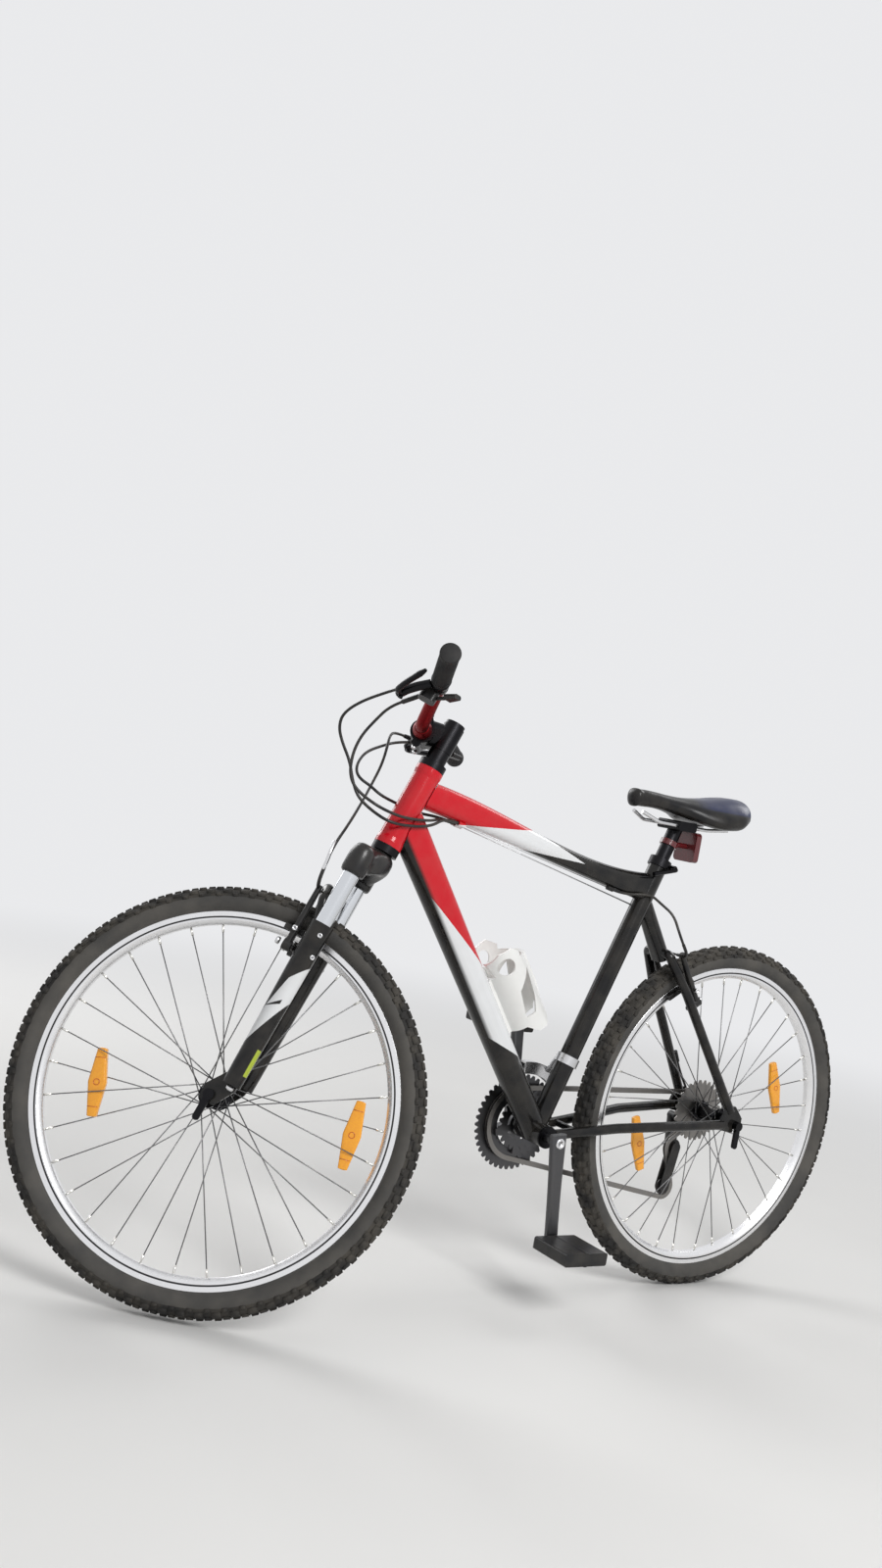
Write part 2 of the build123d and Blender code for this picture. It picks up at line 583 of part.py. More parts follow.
def pitch_radius(teeth):
    return PITCH / (2 * sin(pi / teeth))


def toothed(teeth):
    """The points of a sprocket's outline."""
    points = []
    for tooth in range(teeth):
        for share, height in TOOTH_ROWS:
            angle = 2 * pi * (tooth + share) / teeth
            radius = pitch_radius(teeth) + height
            points.append((radius * cos(angle), radius * sin(angle)))
    return points


COG_BORE = HUB_END + SEAT_GAP
chain_cog_index = COG_TEETH.index(CHAIN_COG)
with BuildPart() as cassette:
    for index, teeth in enumerate(COG_TEETH):
        y = -CHAINLINE + (index - chain_cog_index) * COG_SPACING
        with BuildSketch(side_plane(REAR_AXLE, y + TOOTH_THICK / 2)):
            with BuildLine():
                Polyline(*toothed(teeth), close=True)
            make_face()
            Circle(COG_BORE, mode=Mode.SUBTRACT)
        extrude(amount=TOOTH_THICK)
    with BuildSketch(side_plane(REAR_AXLE, y + TOOTH_THICK / 2)):
        Circle(COG_BORE + 4.7)
        Circle(COG_BORE, mode=Mode.SUBTRACT)
    extrude(amount=COG_SPACING * (len(COG_TEETH) - 1) + TOOTH_THICK)
finish(cassette.part, "cassette")

# Fork: crown with steerer, stanchions, lowers with their arch
LEG_PLACES = [(CROWN_OFFSET, STANCHION_SPREAD), (CROWN_OFFSET, -STANCHION_SPREAD)]
CROWN_ROOF = 16.0
CROWN_END = STANCHION_SPREAD + STANCHION_RADIUS + 8.0
with BuildPart() as fork_crown:
    with BuildSketch(STEER.offset(CROWN_TOP - CROWN_DEPTH)):
        Circle(STEERER_RADIUS + 8.0)
        with Locations(*LEG_PLACES):
            Circle(STANCHION_RADIUS + 6.0)
        make_hull()
    extrude(amount=CROWN_DEPTH)
    with BuildSketch(Plane(origin=steer(-60, 0, CROWN_TOP), x_dir=STEER.y_dir, z_dir=turned(1, 0, 0))):
        with BuildLine():
            Polyline(
                (-CROWN_END, -CROWN_DEPTH), (CROWN_END, -CROWN_DEPTH), (CROWN_END, -22), (0.8 * CROWN_END, -14),
                (26, 0), (-26, 0), (-0.8 * CROWN_END, -14), (-CROWN_END, -22), close=True,
            )
        make_face()
    extrude(amount=140, mode=Mode.INTERSECT)
    add(round_bar(steer(0, 0, CROWN_TOP - 5), steer(0, 0, COLUMN_TOP - 3), STEERER_RADIUS))
    with BuildSketch(STEER.offset(CROWN_TOP - CROWN_DEPTH)):
        with Locations(*LEG_PLACES):
            Circle(STANCHION_RADIUS)
    extrude(amount=CROWN_DEPTH - CROWN_ROOF, mode=Mode.SUBTRACT)
finish(fork_crown.part, "fork_crown")

STANCHION_INSERT = 40.0
with BuildPart() as stanchions:
    with BuildSketch(STEER.offset(LOWERS_TOP - STANCHION_INSERT)):
        with Locations(*LEG_PLACES):
            Circle(STANCHION_RADIUS)
    extrude(amount=CROWN_TOP - CROWN_ROOF - LOWERS_TOP + STANCHION_INSERT)
finish(stanchions.part, "stanchions")

# forward, distance from the middle, up from the axle's level
ARCH_POINTS = [(24.0, STANCHION_SPREAD, LOWERS_TOP - 8.0), (38.0, STANCHION_SPREAD - 6.0, ARCH_LEVEL - 6.0),
               (44.0, 30.0, ARCH_LEVEL + 12.0)]
ARCH_RADIUS = 8.5
LEG_FOOT = 28.0
with BuildPart() as fork_lowers:
    for side in (1, -1):
        for level, radius in [(LEG_FOOT, 15.0), (LOWERS_TOP, LOWERS_RADIUS)]:
            with BuildSketch(STEER.offset(level)):
                with Locations((CROWN_OFFSET, side * STANCHION_SPREAD)):
                    Circle(radius)
        loft()
        with BuildSketch(Plane(origin=steer(0, side * FORK_DROPOUT_SPREAD, 0), x_dir=turned(1, 0, 0), z_dir=-turned(0, 1, 0))):
            with BuildLine():
                Polyline((FORK_RAKE - 13, -12), (FORK_RAKE + 13, -12), (FORK_RAKE + 14, 12),
                         (CROWN_OFFSET + 14, 46), (CROWN_OFFSET - 12, 46), (CROWN_OFFSET - 8, 20), close=True)
            make_face()
            with Locations((FORK_RAKE, 0)):
                Circle(AXLE_RADIUS, mode=Mode.SUBTRACT)
            with Locations((FORK_RAKE, -10)):
                Rectangle(2 * AXLE_RADIUS, 20, mode=Mode.SUBTRACT)
        extrude(amount=DROPOUT_THICK / 2, both=True)
        add(round_bar(steer(CROWN_OFFSET + 4, side * 58, BOSS_LEVEL), steer(38, side * BOSS_SPREAD, BOSS_LEVEL), 8.0))
        add(round_bar(steer(30, side * BOSS_SPREAD, BOSS_LEVEL), steer(62, side * BOSS_SPREAD, BOSS_LEVEL), 4.0))
    add(bent_bar([steer(x, y, z) for x, y, z in ARCH_POINTS] + [steer(x, -y, z) for x, y, z in reversed(ARCH_POINTS)],
                 [18.0, 16.0, 16.0, 18.0], ARCH_RADIUS, turned(1, 0, 0)))
    with BuildSketch(STEER.offset(LOWERS_TOP - STANCHION_INSERT)):
        with Locations(*LEG_PLACES):
            Circle(STANCHION_RADIUS)
    extrude(amount=3 * STANCHION_INSERT, mode=Mode.SUBTRACT)
finish(fork_lowers.part, "fork_lowers")

# Stem with its four-bolt clamp, spacers and handlebar
with BuildPart() as headset_spacers:
    with BuildSketch(STEER.offset(HEAD_TOP + CUP_HEIGHT + SEAT_GAP)):
        Circle(STEERER_RADIUS + 3.2)
        Circle(STEERER_RADIUS, mode=Mode.SUBTRACT)
    extrude(amount=STEM_LOW - HEAD_TOP - CUP_HEIGHT - 2 * SEAT_GAP)
finish(headset_spacers.part, "headset_spacers")

CLAMP_WIDTH = 42.0
CLAMP_WALL = 4.5
CLAMP_LUG = 28.0
bar_middle = Plane(origin=steer(STEM_REACH, 0, STEM_CLAMP_LEVEL), x_dir=turned(1, 0, 0), z_dir=turned(0, 1, 0))
with BuildPart() as stem:
    with BuildSketch(STEER.offset(STEM_LOW)):
        Circle(STEERER_RADIUS + 4.0)
    extrude(amount=STEM_HEIGHT)
    with BuildSketch(STEER.offset(STEM_LOW + STEM_HEIGHT)):
        Circle(STEERER_RADIUS + 2.5)
    extrude(amount=COLUMN_TOP - STEM_LOW - STEM_HEIGHT)
    add(tapered(steer(4, 0, STEM_LOW + 25), steer(STEM_REACH, 0, STEM_CLAMP_LEVEL + 4), turned(0, 1, 0),
                [(0.0, 32.0, 42.0, 0.0), (1.0, 36.0, 46.0, 0.0)]))
    with BuildSketch(bar_middle):
        Circle(BAR_CLAMP_RADIUS + CLAMP_WALL)
        RectangleRounded(15.0, 2 * CLAMP_LUG, 4.0)
    extrude(amount=CLAMP_WIDTH / 2, both=True)
    with BuildSketch(bar_middle):
        Circle(BAR_CLAMP_RADIUS)
    extrude(amount=CLAMP_WIDTH, both=True, mode=Mode.SUBTRACT)
    with BuildSketch(STEER.offset(STEM_LOW - STEM_HEIGHT)):
        Circle(STEERER_RADIUS)
    extrude(amount=COLUMN_TOP - STEM_LOW + STEM_HEIGHT - 3.0, mode=Mode.SUBTRACT)
finish(stem.part, "stem")

# forward, distance from the middle, up: the outer run ends at the bar's end
BAR_BEND = (STEM_REACH, 52.0, STEM_CLAMP_LEVEL)
BAR_SHOULDER = (STEM_REACH - 6.0, 114.0, STEM_CLAMP_LEVEL + BAR_RISE)
BAR_END = (STEM_REACH - 6.0 - BAR_BACKSWEEP, BAR_HALF, STEM_CLAMP_LEVEL + BAR_RISE + BAR_UPSWEEP)
BAR_START = (STEM_REACH, 20.0, STEM_CLAMP_LEVEL)
BULGE_HALF = 30.0
with BuildPart() as handlebar:
    with BuildSketch(bar_middle):
        Circle(BAR_CLAMP_RADIUS)
    extrude(amount=BULGE_HALF, both=True)
    for side in (1, -1):
        with BuildSketch(bar_middle.offset(side * BULGE_HALF)):
            Circle(BAR_CLAMP_RADIUS)
        extrude(amount=side * 12.0, taper=18.0)
        add(bent_bar([steer(x, side * y, z) for x, y, z in (BAR_START, BAR_BEND, BAR_SHOULDER, BAR_END)],
                     [45.0, 60.0], BAR_RADIUS, turned(1, 0, 0)))
finish(handlebar.part, "handlebar")


def bar_plane(from_end, side):
    """The plane square to the bar's outer run at a distance from its end, facing inboard, x forward."""
    end, shoulder = Vector(*BAR_END), Vector(*BAR_SHOULDER)
    inboard = (shoulder - end).normalized()
    place = end + inboard * from_end
    return Plane(
        origin=steer(place.X, side * place.Y, place.Z), x_dir=turned(1, 0, 0),
        z_dir=turned(inboard.X, side * inboard.Y, inboard.Z),
    )


def control_point(plane, side, forward, down, inboard):
    """A point by its distances from the bar's axis, for a control on either side."""
    return plane.from_local_coords(Vector(forward, -side * down, inboard))


LEVER_FROM_END = GRIP_LENGTH + 4.0
LEVER_BAND = 12.0
SHIFTER_FROM_END = LEVER_FROM_END + LEVER_BAND + 4.0
SHIFTER_BAND = 10.0
BAND_WALL = 4.0
BARREL_RADIUS = 4.0
# forward, down, inboard from the bar's axis at the band: the adjusters' near and far ends
LEVER_BARREL = [(36.0, 24.0, 14.0), (56.0, 31.0, 46.0)]
SHIFTER_BARREL = [(17.0, 22.0, 22.0), (40.0, 40.0, 45.0)]
for side, name in ((1, "left"), (-1, "right")):
    plane = bar_plane(0, side)
    with BuildPart() as grip:
        with BuildSketch(plane):
            Circle(GRIP_RADIUS)
            Circle(BAR_RADIUS, mode=Mode.SUBTRACT)
        extrude(amount=GRIP_LENGTH)
        with BuildSketch(plane):
            Circle(GRIP_RADIUS + 0.8)
        extrude(amount=-3.0)
    finish(grip.part, f"{name}_grip")

    plane = bar_plane(LEVER_FROM_END, side)
    with BuildPart() as lever:
        with BuildSketch(plane):
            Circle(BAR_RADIUS + BAND_WALL)
        extrude(amount=LEVER_BAND)
        add(tapered(control_point(plane, side, 6, 4, 6), control_point(plane, side, 42, 26, 4), plane.z_dir,
                    [(0.0, 14.0, 20.0, 0.0), (1.0, 28.0, 14.0, 0.0)]))
        add(bent_bar([control_point(plane, side, *place) for place in
                      [(38, 24, 6), (52, 32, -18), (44, 28, -56), (36, 22, -LEVER_LENGTH)]],
                     [14.0, 50.0], 5.0, plane.x_dir))
        add(round_bar(*[control_point(plane, side, *place) for place in LEVER_BARREL], BARREL_RADIUS))
        with BuildSketch(plane.offset(-LEVER_BAND)):
            Circle(BAR_RADIUS)
        extrude(amount=4 * LEVER_BAND, mode=Mode.SUBTRACT)
    finish(lever.part, f"{name}_brake_lever")

    plane = bar_plane(SHIFTER_FROM_END, side)
    with BuildPart() as shifter:
        with BuildSketch(plane):
            Circle(BAR_RADIUS + BAND_WALL)
        extrude(amount=SHIFTER_BAND)
        with BuildSketch(across(control_point(plane, side, 7, 12, 13), control_point(plane, side, 7, 14, 13), plane.z_dir)):
            RectangleRounded(25.0, 29.0, 9.0)
        extrude(amount=18.0)
        add(round_bar(control_point(plane, side, -2, 22, 12), control_point(plane, side, -26, 17, -14), 3.0))
        add(tapered(control_point(plane, side, -22, 18, -10), control_point(plane, side, -36, 14, -26), plane.z_dir,
                    [(0.0, 20.0, 9.0, 0.0), (1.0, 15.0, 8.0, 0.0)]))
        add(round_bar(*[control_point(plane, side, *place) for place in SHIFTER_BARREL], BARREL_RADIUS))
        with BuildSketch(plane.offset(-2 * SHIFTER_BAND)):
            Circle(BAR_RADIUS)
        extrude(amount=5 * SHIFTER_BAND, mode=Mode.SUBTRACT)
    finish(shifter.part, f"{name}_shifter")


def barrel_mouth(barrel, from_end, side):
    """An adjuster's far end, and a point beyond it along its line."""
    near, far = [Vector(*place) for place in barrel]
    beyond = (far - near).normalized()
    plane = bar_plane(from_end, side)
    return [control_point(plane, side, *(far + beyond * reach)) for reach in (0.0, 24.0)]


# Rim brakes: two arms on bosses, with pads beside the rim and a curved guide for the cable
BRAKE_OUT = 7.0
PAD_LENGTH = 64.0
PAD_THICK = 10.0
NOODLE_RADIUS = 3.0
# left of the middle, out from the arms, up from the wire's level
FRONT_GUIDE = [(28.0, 0.0, 0.0), (60.0, 2.0, 2.0), (63.0, 6.0, 32.0)]
REAR_GUIDE = [(28.0, 0.0, 0.0), (60.0, -2.0, 2.0), (63.0, -6.0, 32.0)]


def rim_brake(place, spread, out, guide):
    """place(forward, left, up) gives the brake's points; up is from the wheel's axle."""
    left_dir = place(0, 1, 0) - place(0, 0, 0)
    middle = out + BRAKE_OUT
    wire = BRAKE_TOP - 6.0
    with BuildPart() as brake:
        for side in (1, -1):
            add(round_bar(place(out, side * spread, BOSS_LEVEL), place(out + 14, side * spread, BOSS_LEVEL), 9.0))
            add(tapered(place(middle, side * spread, BOSS_LEVEL), place(middle, side * (spread + 3), BRAKE_TOP),
                        left_dir, [(0.0, 16.0, 12.0, 0.0), (1.0, 10.0, 9.0, 0.0)]))
            add(round_bar(place(middle, side * (spread + 6), PAD_LEVEL), place(middle, side * 24, PAD_LEVEL), 4.0))
            with BuildSketch(Plane(origin=place(middle - 42, side * (half_rim + PAD_THICK / 2 + 2), PAD_LEVEL),
                                   x_dir=left_dir, z_dir=place(1, 0, 0) - place(0, 0, 0))):
                RectangleRounded(PAD_THICK, PAD_THICK, 2.5)
            extrude(amount=PAD_LENGTH)
        add(round_bar(place(middle, spread + 3, wire), place(middle, -spread - 3, wire), 2.0))
        add(bent_bar([place(middle + ahead, left, wire + up) for left, ahead, up in guide], [20.0],
                     NOODLE_RADIUS, place(0, 0, 1) - place(0, 0, 0)))
        for side in (1, -1):
            add(round_bar(place(out - 6, side * spread, BOSS_LEVEL), place(out + 30, side * spread, BOSS_LEVEL), 4.0),
                mode=Mode.SUBTRACT)
    return brake.part


FRONT_BRAKE_AT = 48.0
REAR_BRAKE_AT = 12.0


def stay_brake_point(x, y, z):
    return stay_point(z, y, -x)


finish(rim_brake(steer, BOSS_SPREAD, FRONT_BRAKE_AT, FRONT_GUIDE), "front_brake")
finish(rim_brake(stay_brake_point, BOSS_SPREAD, REAR_BRAKE_AT, REAR_GUIDE), "rear_brake")

# Crankset: both arms, the rings and the spindle turn together
RING_AT = [-CHAINLINE + RING_SPACING, -CHAINLINE, -CHAINLINE - RING_SPACING]
RING_BORES = [29.0, 46.0, 62.0]
ARM_MIDDLE = CRANK_ARM_INNER + CRANK_ARM_THICK / 2
PEDAL_NEAR = CRANK_ARM_INNER + CRANK_ARM_THICK + 11.0


def crank_end(side, y):
    """A pedal axle's point at y; the right arm stands at the crank angle, the left one opposite."""
    turn = radians(CRANK_ANGLE)
    return CRANK_AXIS + Vector(-side * CRANK_LENGTH * cos(turn), y, -side * CRANK_LENGTH * sin(turn))


def crank_arm(side):
    foot = CRANK_AXIS + LEFT * (side * ARM_MIDDLE)
    tip = crank_end(side, side * (ARM_MIDDLE + 7.0))
    beyond = (tip - foot).normalized()
    with BuildPart() as arm:
        add(tapered(foot - beyond * 14, tip + beyond * 10, LEFT,
                    [(0.0, CRANK_ARM_THICK, 34.0, 0.0), (0.5, CRANK_ARM_THICK, 26.0, 0.0),
                     (1.0, CRANK_ARM_THICK - 1, 26.0, 0.0)]))
        add(round_bar(tip, crank_end(side, side * (PEDAL_NEAR + PEDAL_WIDTH - 6)), PEDAL_AXLE_RADIUS))
    return arm.part


with BuildPart() as crankset:
    add(crank_arm(1))
    add(crank_arm(-1))
    add(round_bar(CRANK_AXIS + LEFT * (CRANK_ARM_INNER + 4), CRANK_AXIS - LEFT * (CRANK_ARM_INNER + 4), SPINDLE_RADIUS))
    for teeth, y, bore in zip(RING_TEETH, RING_AT, RING_BORES):
        with BuildSketch(side_plane(CRANK_AXIS, y + TOOTH_THICK / 2)):
            with BuildLine():
                Polyline(*toothed(teeth), close=True)
            make_face()
            Circle(bore, mode=Mode.SUBTRACT)
        extrude(amount=TOOTH_THICK)
    # place, length of the spider's fingers, out to the arm
    for y, reach, amount in [(RING_AT[0], 54.0, RING_SPACING + CRANK_ARM_INNER - CHAINLINE + 1.0),
                             (RING_AT[2], 72.0, CRANK_ARM_INNER - CHAINLINE - RING_SPACING + 2.0)]:
        with BuildSketch(side_plane(CRANK_AXIS, y + TOOTH_THICK / 2)):
            with PolarLocations(reach / 2, 5, 54):
                Rectangle(reach, 13.0)
            Circle(SPINDLE_RADIUS + 15.0)
        extrude(amount=amount)
finish(crankset.part, "crankset")

PEDAL_BARS = [0.0, PEDAL_WIDTH / 2 - 3.0, PEDAL_WIDTH - 6.0]
for side, name in ((1, "left"), (-1, "right")):
    pedal_plane = Plane(origin=crank_end(side, side * PEDAL_NEAR), x_dir=AHEAD, z_dir=LEFT * side)
    with BuildPart() as pedal:
        with BuildSketch(pedal_plane):
            RectangleRounded(PEDAL_LENGTH, 22.0, 4.0)
            RectangleRounded(PEDAL_LENGTH - 10.0, 14.0, 2.0, mode=Mode.SUBTRACT)
        extrude(amount=PEDAL_WIDTH)
        with BuildSketch(pedal_plane):
            Circle(12.0)
        extrude(amount=PEDAL_WIDTH)
        for out in PEDAL_BARS:
            with BuildSketch(pedal_plane.offset(out)):
                RectangleRounded(PEDAL_LENGTH, 22.0, 4.0)
            extrude(amount=6.0)
        with BuildSketch(pedal_plane.offset(-5)):
            Circle(PEDAL_AXLE_RADIUS + RUNNING)
        extrude(amount=PEDAL_WIDTH + 3, mode=Mode.SUBTRACT)
    finish(pedal.part, f"{name}_pedal")

# Chain: round the cog, the guide and tension pulleys and the ring, in the order that it passes them
LINK_CLEAR = 3
PIN_RADIUS = 3.9
GUIDE = (26.0, -80.0)
TENSION = (38.0, -158.0)
# forward, up, pitch radius, 1 where the chain turns anticlockwise
CHAIN_WHEELS = [(0.0, 0.0, pitch_radius(CHAIN_COG), 1), (*GUIDE, PULLEY_RADIUS, -1),
                (*TENSION, PULLEY_RADIUS, 1), (CRANK_AHEAD, -CRANK_DROP, pitch_radius(CHAIN_RING), 1)]


def chain_loop(out):
    """The chain's route moved outwards by a distance: its arcs and its straight runs, by their points."""
    wheels = [(x, z, r + turn * out, turn) for x, z, r, turn in CHAIN_WHEELS]
    runs = []
    for (x1, z1, r1, t1), (x2, z2, r2, t2) in zip(wheels, wheels[1:] + wheels[:1]):
        gap = hypot(x2 - x1, z2 - z1)
        angle = atan2(z2 - z1, x2 - x1) - asin((t2 * r2 - t1 * r1) / gap)
        normal = (-sin(angle), cos(angle))
        runs.append(((x1 - t1 * r1 * normal[0], z1 - t1 * r1 * normal[1]),
                     (x2 - t2 * r2 * normal[0], z2 - t2 * r2 * normal[1])))
    arcs = []
    for index, (x, z, r, turn) in enumerate(wheels):
        arrive, leave = runs[index - 1][1], runs[index][0]
        first = atan2(arrive[1] - z, arrive[0] - x)
        last = atan2(leave[1] - z, leave[0] - x)
        middle = first + turn * ((turn * (last - first)) % (2 * pi)) / 2
        arcs.append((arrive, (x + r * cos(middle), z + r * sin(middle)), leave))
    return arcs, runs


chain_plane = side_plane(REAR_AXLE, -CHAINLINE)
with BuildPart() as chain:
    for low in (-CHAIN_WIDTH / 2, CHAIN_GAP / 2):
        with BuildSketch(chain_plane.offset(low)):
            for out, mode in ((CHAIN_DEPTH / 2, Mode.ADD), (-CHAIN_DEPTH / 2, Mode.SUBTRACT)):
                arcs, runs = chain_loop(out)
                with BuildLine():
                    for arc in arcs:
                        ThreePointArc(*arc)
                    for run in runs:
                        Line(*run)
                make_face(mode=mode)
        extrude(amount=(CHAIN_WIDTH - CHAIN_GAP) / 2)
    with BuildSketch(chain_plane.offset(-CHAIN_WIDTH / 2)):
        for (x1, z1), (x2, z2) in chain_loop(0)[1]:
            run = hypot(x2 - x1, z2 - z1)
            for link in range(LINK_CLEAR, int(run / PITCH) - LINK_CLEAR):
                share = (link + 0.5) * PITCH / run
                with Locations((x1 + (x2 - x1) * share, z1 + (z2 - z1) * share)):
                    RegularPolygon(PIN_RADIUS, 6)
    extrude(amount=CHAIN_WIDTH)
finish(chain.part, "chain")

CAGE_OUT = 7.0
CAGE_PLATE = 2.0
# the cable's adjuster on the body, from the rear axle
MECH_BODY = (12.6, -75.4, -66.8)
MECH_MOUTH = (-5.0, -77.0, -62.0)
hanger = REAR_AXLE + Vector(8, -DROPOUT_SPREAD, 9 - HANGER_DROP)
guide_out = REAR_AXLE + Vector(GUIDE[0], -CHAINLINE - CAGE_OUT, GUIDE[1])
with BuildPart() as rear_derailleur:
    for y in (-CHAINLINE + CAGE_OUT, -CHAINLINE - CAGE_OUT):
        with BuildSketch(side_plane(REAR_AXLE, y + CAGE_PLATE / 2)):
            with Locations(GUIDE, TENSION):
                Circle(11.0)
            make_hull()
        extrude(amount=CAGE_PLATE)
    for x, z in (GUIDE, TENSION):
        with BuildSketch(side_plane(REAR_AXLE, -CHAINLINE + TOOTH_THICK / 2)):
            with Locations((x, z)):
                Circle(PULLEY_RADIUS - CHAIN_DEPTH / 2 - 0.5)
        extrude(amount=TOOTH_THICK)
        centre = REAR_AXLE + Vector(x, -CHAINLINE, z)
        add(round_bar(centre + LEFT * CAGE_OUT, centre - LEFT * CAGE_OUT, 4.0))
    add(tapered(hanger + Vector(0, -15, -2), guide_out + Vector(-6, -8, -4), LEFT,
                [(0.0, 14.0, 24.0, 0.0), (1.0, 20.0, 26.0, 0.0)]))
    add(round_bar(hanger - LEFT * (DROPOUT_THICK / 2), hanger - LEFT * 22, 9.0))
    add(round_bar(rear(*MECH_BODY), rear(*MECH_MOUTH), BARREL_RADIUS))
finish(rear_derailleur.part, "rear_derailleur")

# Front derailleur: a cage of two plates over the largest ring, on a band round the seat tube
MECH_LEVEL = 138.0
MECH_INNER = pitch_radius(RING_TEETH[-1]) + 7.0
MECH_OUTER = MECH_INNER + 22.0
MECH_FROM = 84.0
MECH_TURN = 52.0
MECH_PLATE = 1.6
MECH_HALF = 8.0
mech_at = CRANK_AXIS + SEAT_UP * MECH_LEVEL
mech_top = CRANK_AXIS + Vector(-MECH_OUTER * 0.42, -CHAINLINE + MECH_HALF, MECH_OUTER * 0.88)
with BuildPart() as front_derailleur:
    with BuildSketch(SEAT.offset(MECH_LEVEL - 8)):
        Circle(COLLAR_RADIUS)
    extrude(amount=16.0)
    # left face, thickness, inner radius: two plates and the bridge that joins them
    for y, thick, inner in [(-CHAINLINE + MECH_HALF, MECH_PLATE, MECH_INNER), (-CHAINLINE - MECH_HALF, MECH_PLATE, MECH_INNER),
                            (-CHAINLINE + MECH_HALF, 2 * MECH_HALF, MECH_OUTER - 3.0)]:
        with BuildSketch(side_plane(CRANK_AXIS, y)):
            with BuildLine():
                low = CenterArc((0, 0), inner, MECH_FROM, MECH_TURN)
                high = CenterArc((0, 0), MECH_OUTER, MECH_FROM, MECH_TURN)
                Line(low @ 0, high @ 0)
                Line(low @ 1, high @ 1)
            make_face()
        extrude(amount=thick)
    add(tapered(mech_at - LEFT * SEAT_TUBE_RADIUS, mech_top, AHEAD, [(0.0, 24.0, 16.0, 0.0), (1.0, 20.0, 12.0, 0.0)]))
    with BuildSketch(SEAT):
        Circle(SEAT_TUBE_RADIUS)
    extrude(amount=SEAT_TUBE_TOP, mode=Mode.SUBTRACT)
finish(front_derailleur.part, "front_derailleur")

# Bottle cage: a shell round the bottle's place above the down tube, cut to its outline from the side
DOWN_RUN = (DOWN_FRONT - CRANK_AXIS).normalized()
CAGE_AXIS_UP = 67.0
CAGE_LOW = 172.0
CAGE_HIGH = 352.0
CAGE_SEAT = 27.0
cage_side = Plane(origin=CRANK_AXIS, x_dir=DOWN_RUN, z_dir=-LEFT)
cage_axis = Plane(origin=CRANK_AXIS + cage_side.y_dir * CAGE_AXIS_UP + DOWN_RUN * CAGE_LOW, x_dir=LEFT, z_dir=DOWN_RUN)
# along the down tube from the crank, up from its middle
CAGE_OUTLINE = [(200.0, 20.0), (204.0, 48.0), (186.0, 66.0), (184.0, 86.0), (196.0, 100.0), (252.0, 110.0), (318.0, 110.0),
                (326.0, 86.0), (336.0, 88.0), (352.0, 74.0), (352.0, 48.0), (338.0, 30.0), (312.0, 34.0), (306.0, 20.0)]
CAGE_SLOT = [(300.0, 93.0), (248.0, 84.0), (222.0, 72.0), (222.0, 52.0), (272.0, 60.0)]
CAGE_WINDOW = (325.0, 54.0)
CAGE_WINDOW_RADIUS = 15.0
with BuildPart() as bottle_cage:
    with BuildSketch(cage_axis):
        Circle(BOTTLE_RADIUS + CAGE_WALL)
    extrude(amount=CAGE_HIGH - CAGE_LOW)
    with BuildSketch(cage_axis):
        with Locations((0, 22)):
            Rectangle(24.0, 2 * CAGE_AXIS_UP)
    extrude(amount=CAGE_HIGH - CAGE_LOW)
    with BuildSketch(cage_axis.offset(CAGE_WALL)):
        Circle(BOTTLE_RADIUS)
    extrude(amount=CAGE_HIGH - CAGE_LOW, mode=Mode.SUBTRACT)
    with BuildSketch(cage_side):
        with BuildLine():
            Polyline(*CAGE_OUTLINE, close=True)
        make_face()
        with BuildLine():
            Polyline(*CAGE_SLOT, close=True)
        make_face(mode=Mode.SUBTRACT)
        with Locations(CAGE_WINDOW):
            Circle(CAGE_WINDOW_RADIUS, mode=Mode.SUBTRACT)
    extrude(amount=2 * BOTTLE_RADIUS, both=True, mode=Mode.INTERSECT)
    add(down_tube.part, mode=Mode.SUBTRACT)
finish(bottle_cage.part, "bottle_cage")

# Cable housings. Points are in the steering frame up to the head tube, then forward, left, up
REAR_BRAKE_STEER = [(139.0, 88.0, 648.0), (157.0, 77.0, 620.0), (154.0, 69.0, 599.0), (140.0, 60.0, 582.0),
                    (112.0, 55.0, 559.0), (96.0, 50.0, 537.0), (78.0, 45.0, 519.0), (62.0, 42.0, 512.0),
                    (40.0, 40.0, 507.0)]
REAR_BRAKE_FRAME = [(648.0, 27.0, -133.0), (617.0, 29.0, -136.0), (564.0, 27.0, -131.0)]
FRONT_SHIFT_STEER = [(102.0, 94.0, 630.0), (109.0, 92.0, 601.0), (109.0, 90.0, 577.0), (105.0, 87.0, 557.0),
                     (98.0, 82.0, 539.0), (86.0, 76.0, 525.0), (67.0, 68.0, 518.0)]
FRONT_SHIFT_FRAME = [(674.0, 28.0, -111.0), (646.0, 29.0, -119.0), (614.0, 29.0, -124.0), (566.0, 25.0, -122.0)]
REAR_SHIFT_STEER = [(102.0, -70.0, 636.0), (115.0, -35.0, 606.0), (114.0, -10.0, 578.0), (106.0, 0.0, 560.0),
                    (93.0, 2.0, 552.0), (74.0, -4.0, 551.0)]
REAR_SHIFT_FRAME = [(632.0, -38.0, -94.0), (606.0, -38.0, -102.0), (560.0, -25.0, -114.0)]
FRONT_BRAKE_STEER = [(103.0, -80.0, 660.0), (93.0, -64.0, 634.0), (84.0, -52.0, 600.0), (80.0, -38.0, 560.0),
                     (73.0, -4.0, 525.0), (66.0, 36.0, 475.0)]
STOP_RUN = 28.0


def crossing_cable(mouth, steered, framed, place):
    """A housing from an adjuster past the head tube to its stop under the top tube."""
    points = mouth + [steer(*place) for place in steered] + [Vector(*place) for place in framed]
    return cable(points + [stop_point(*place, -STOP_RUN), stop_point(*place)], turned(0, 0, 1))


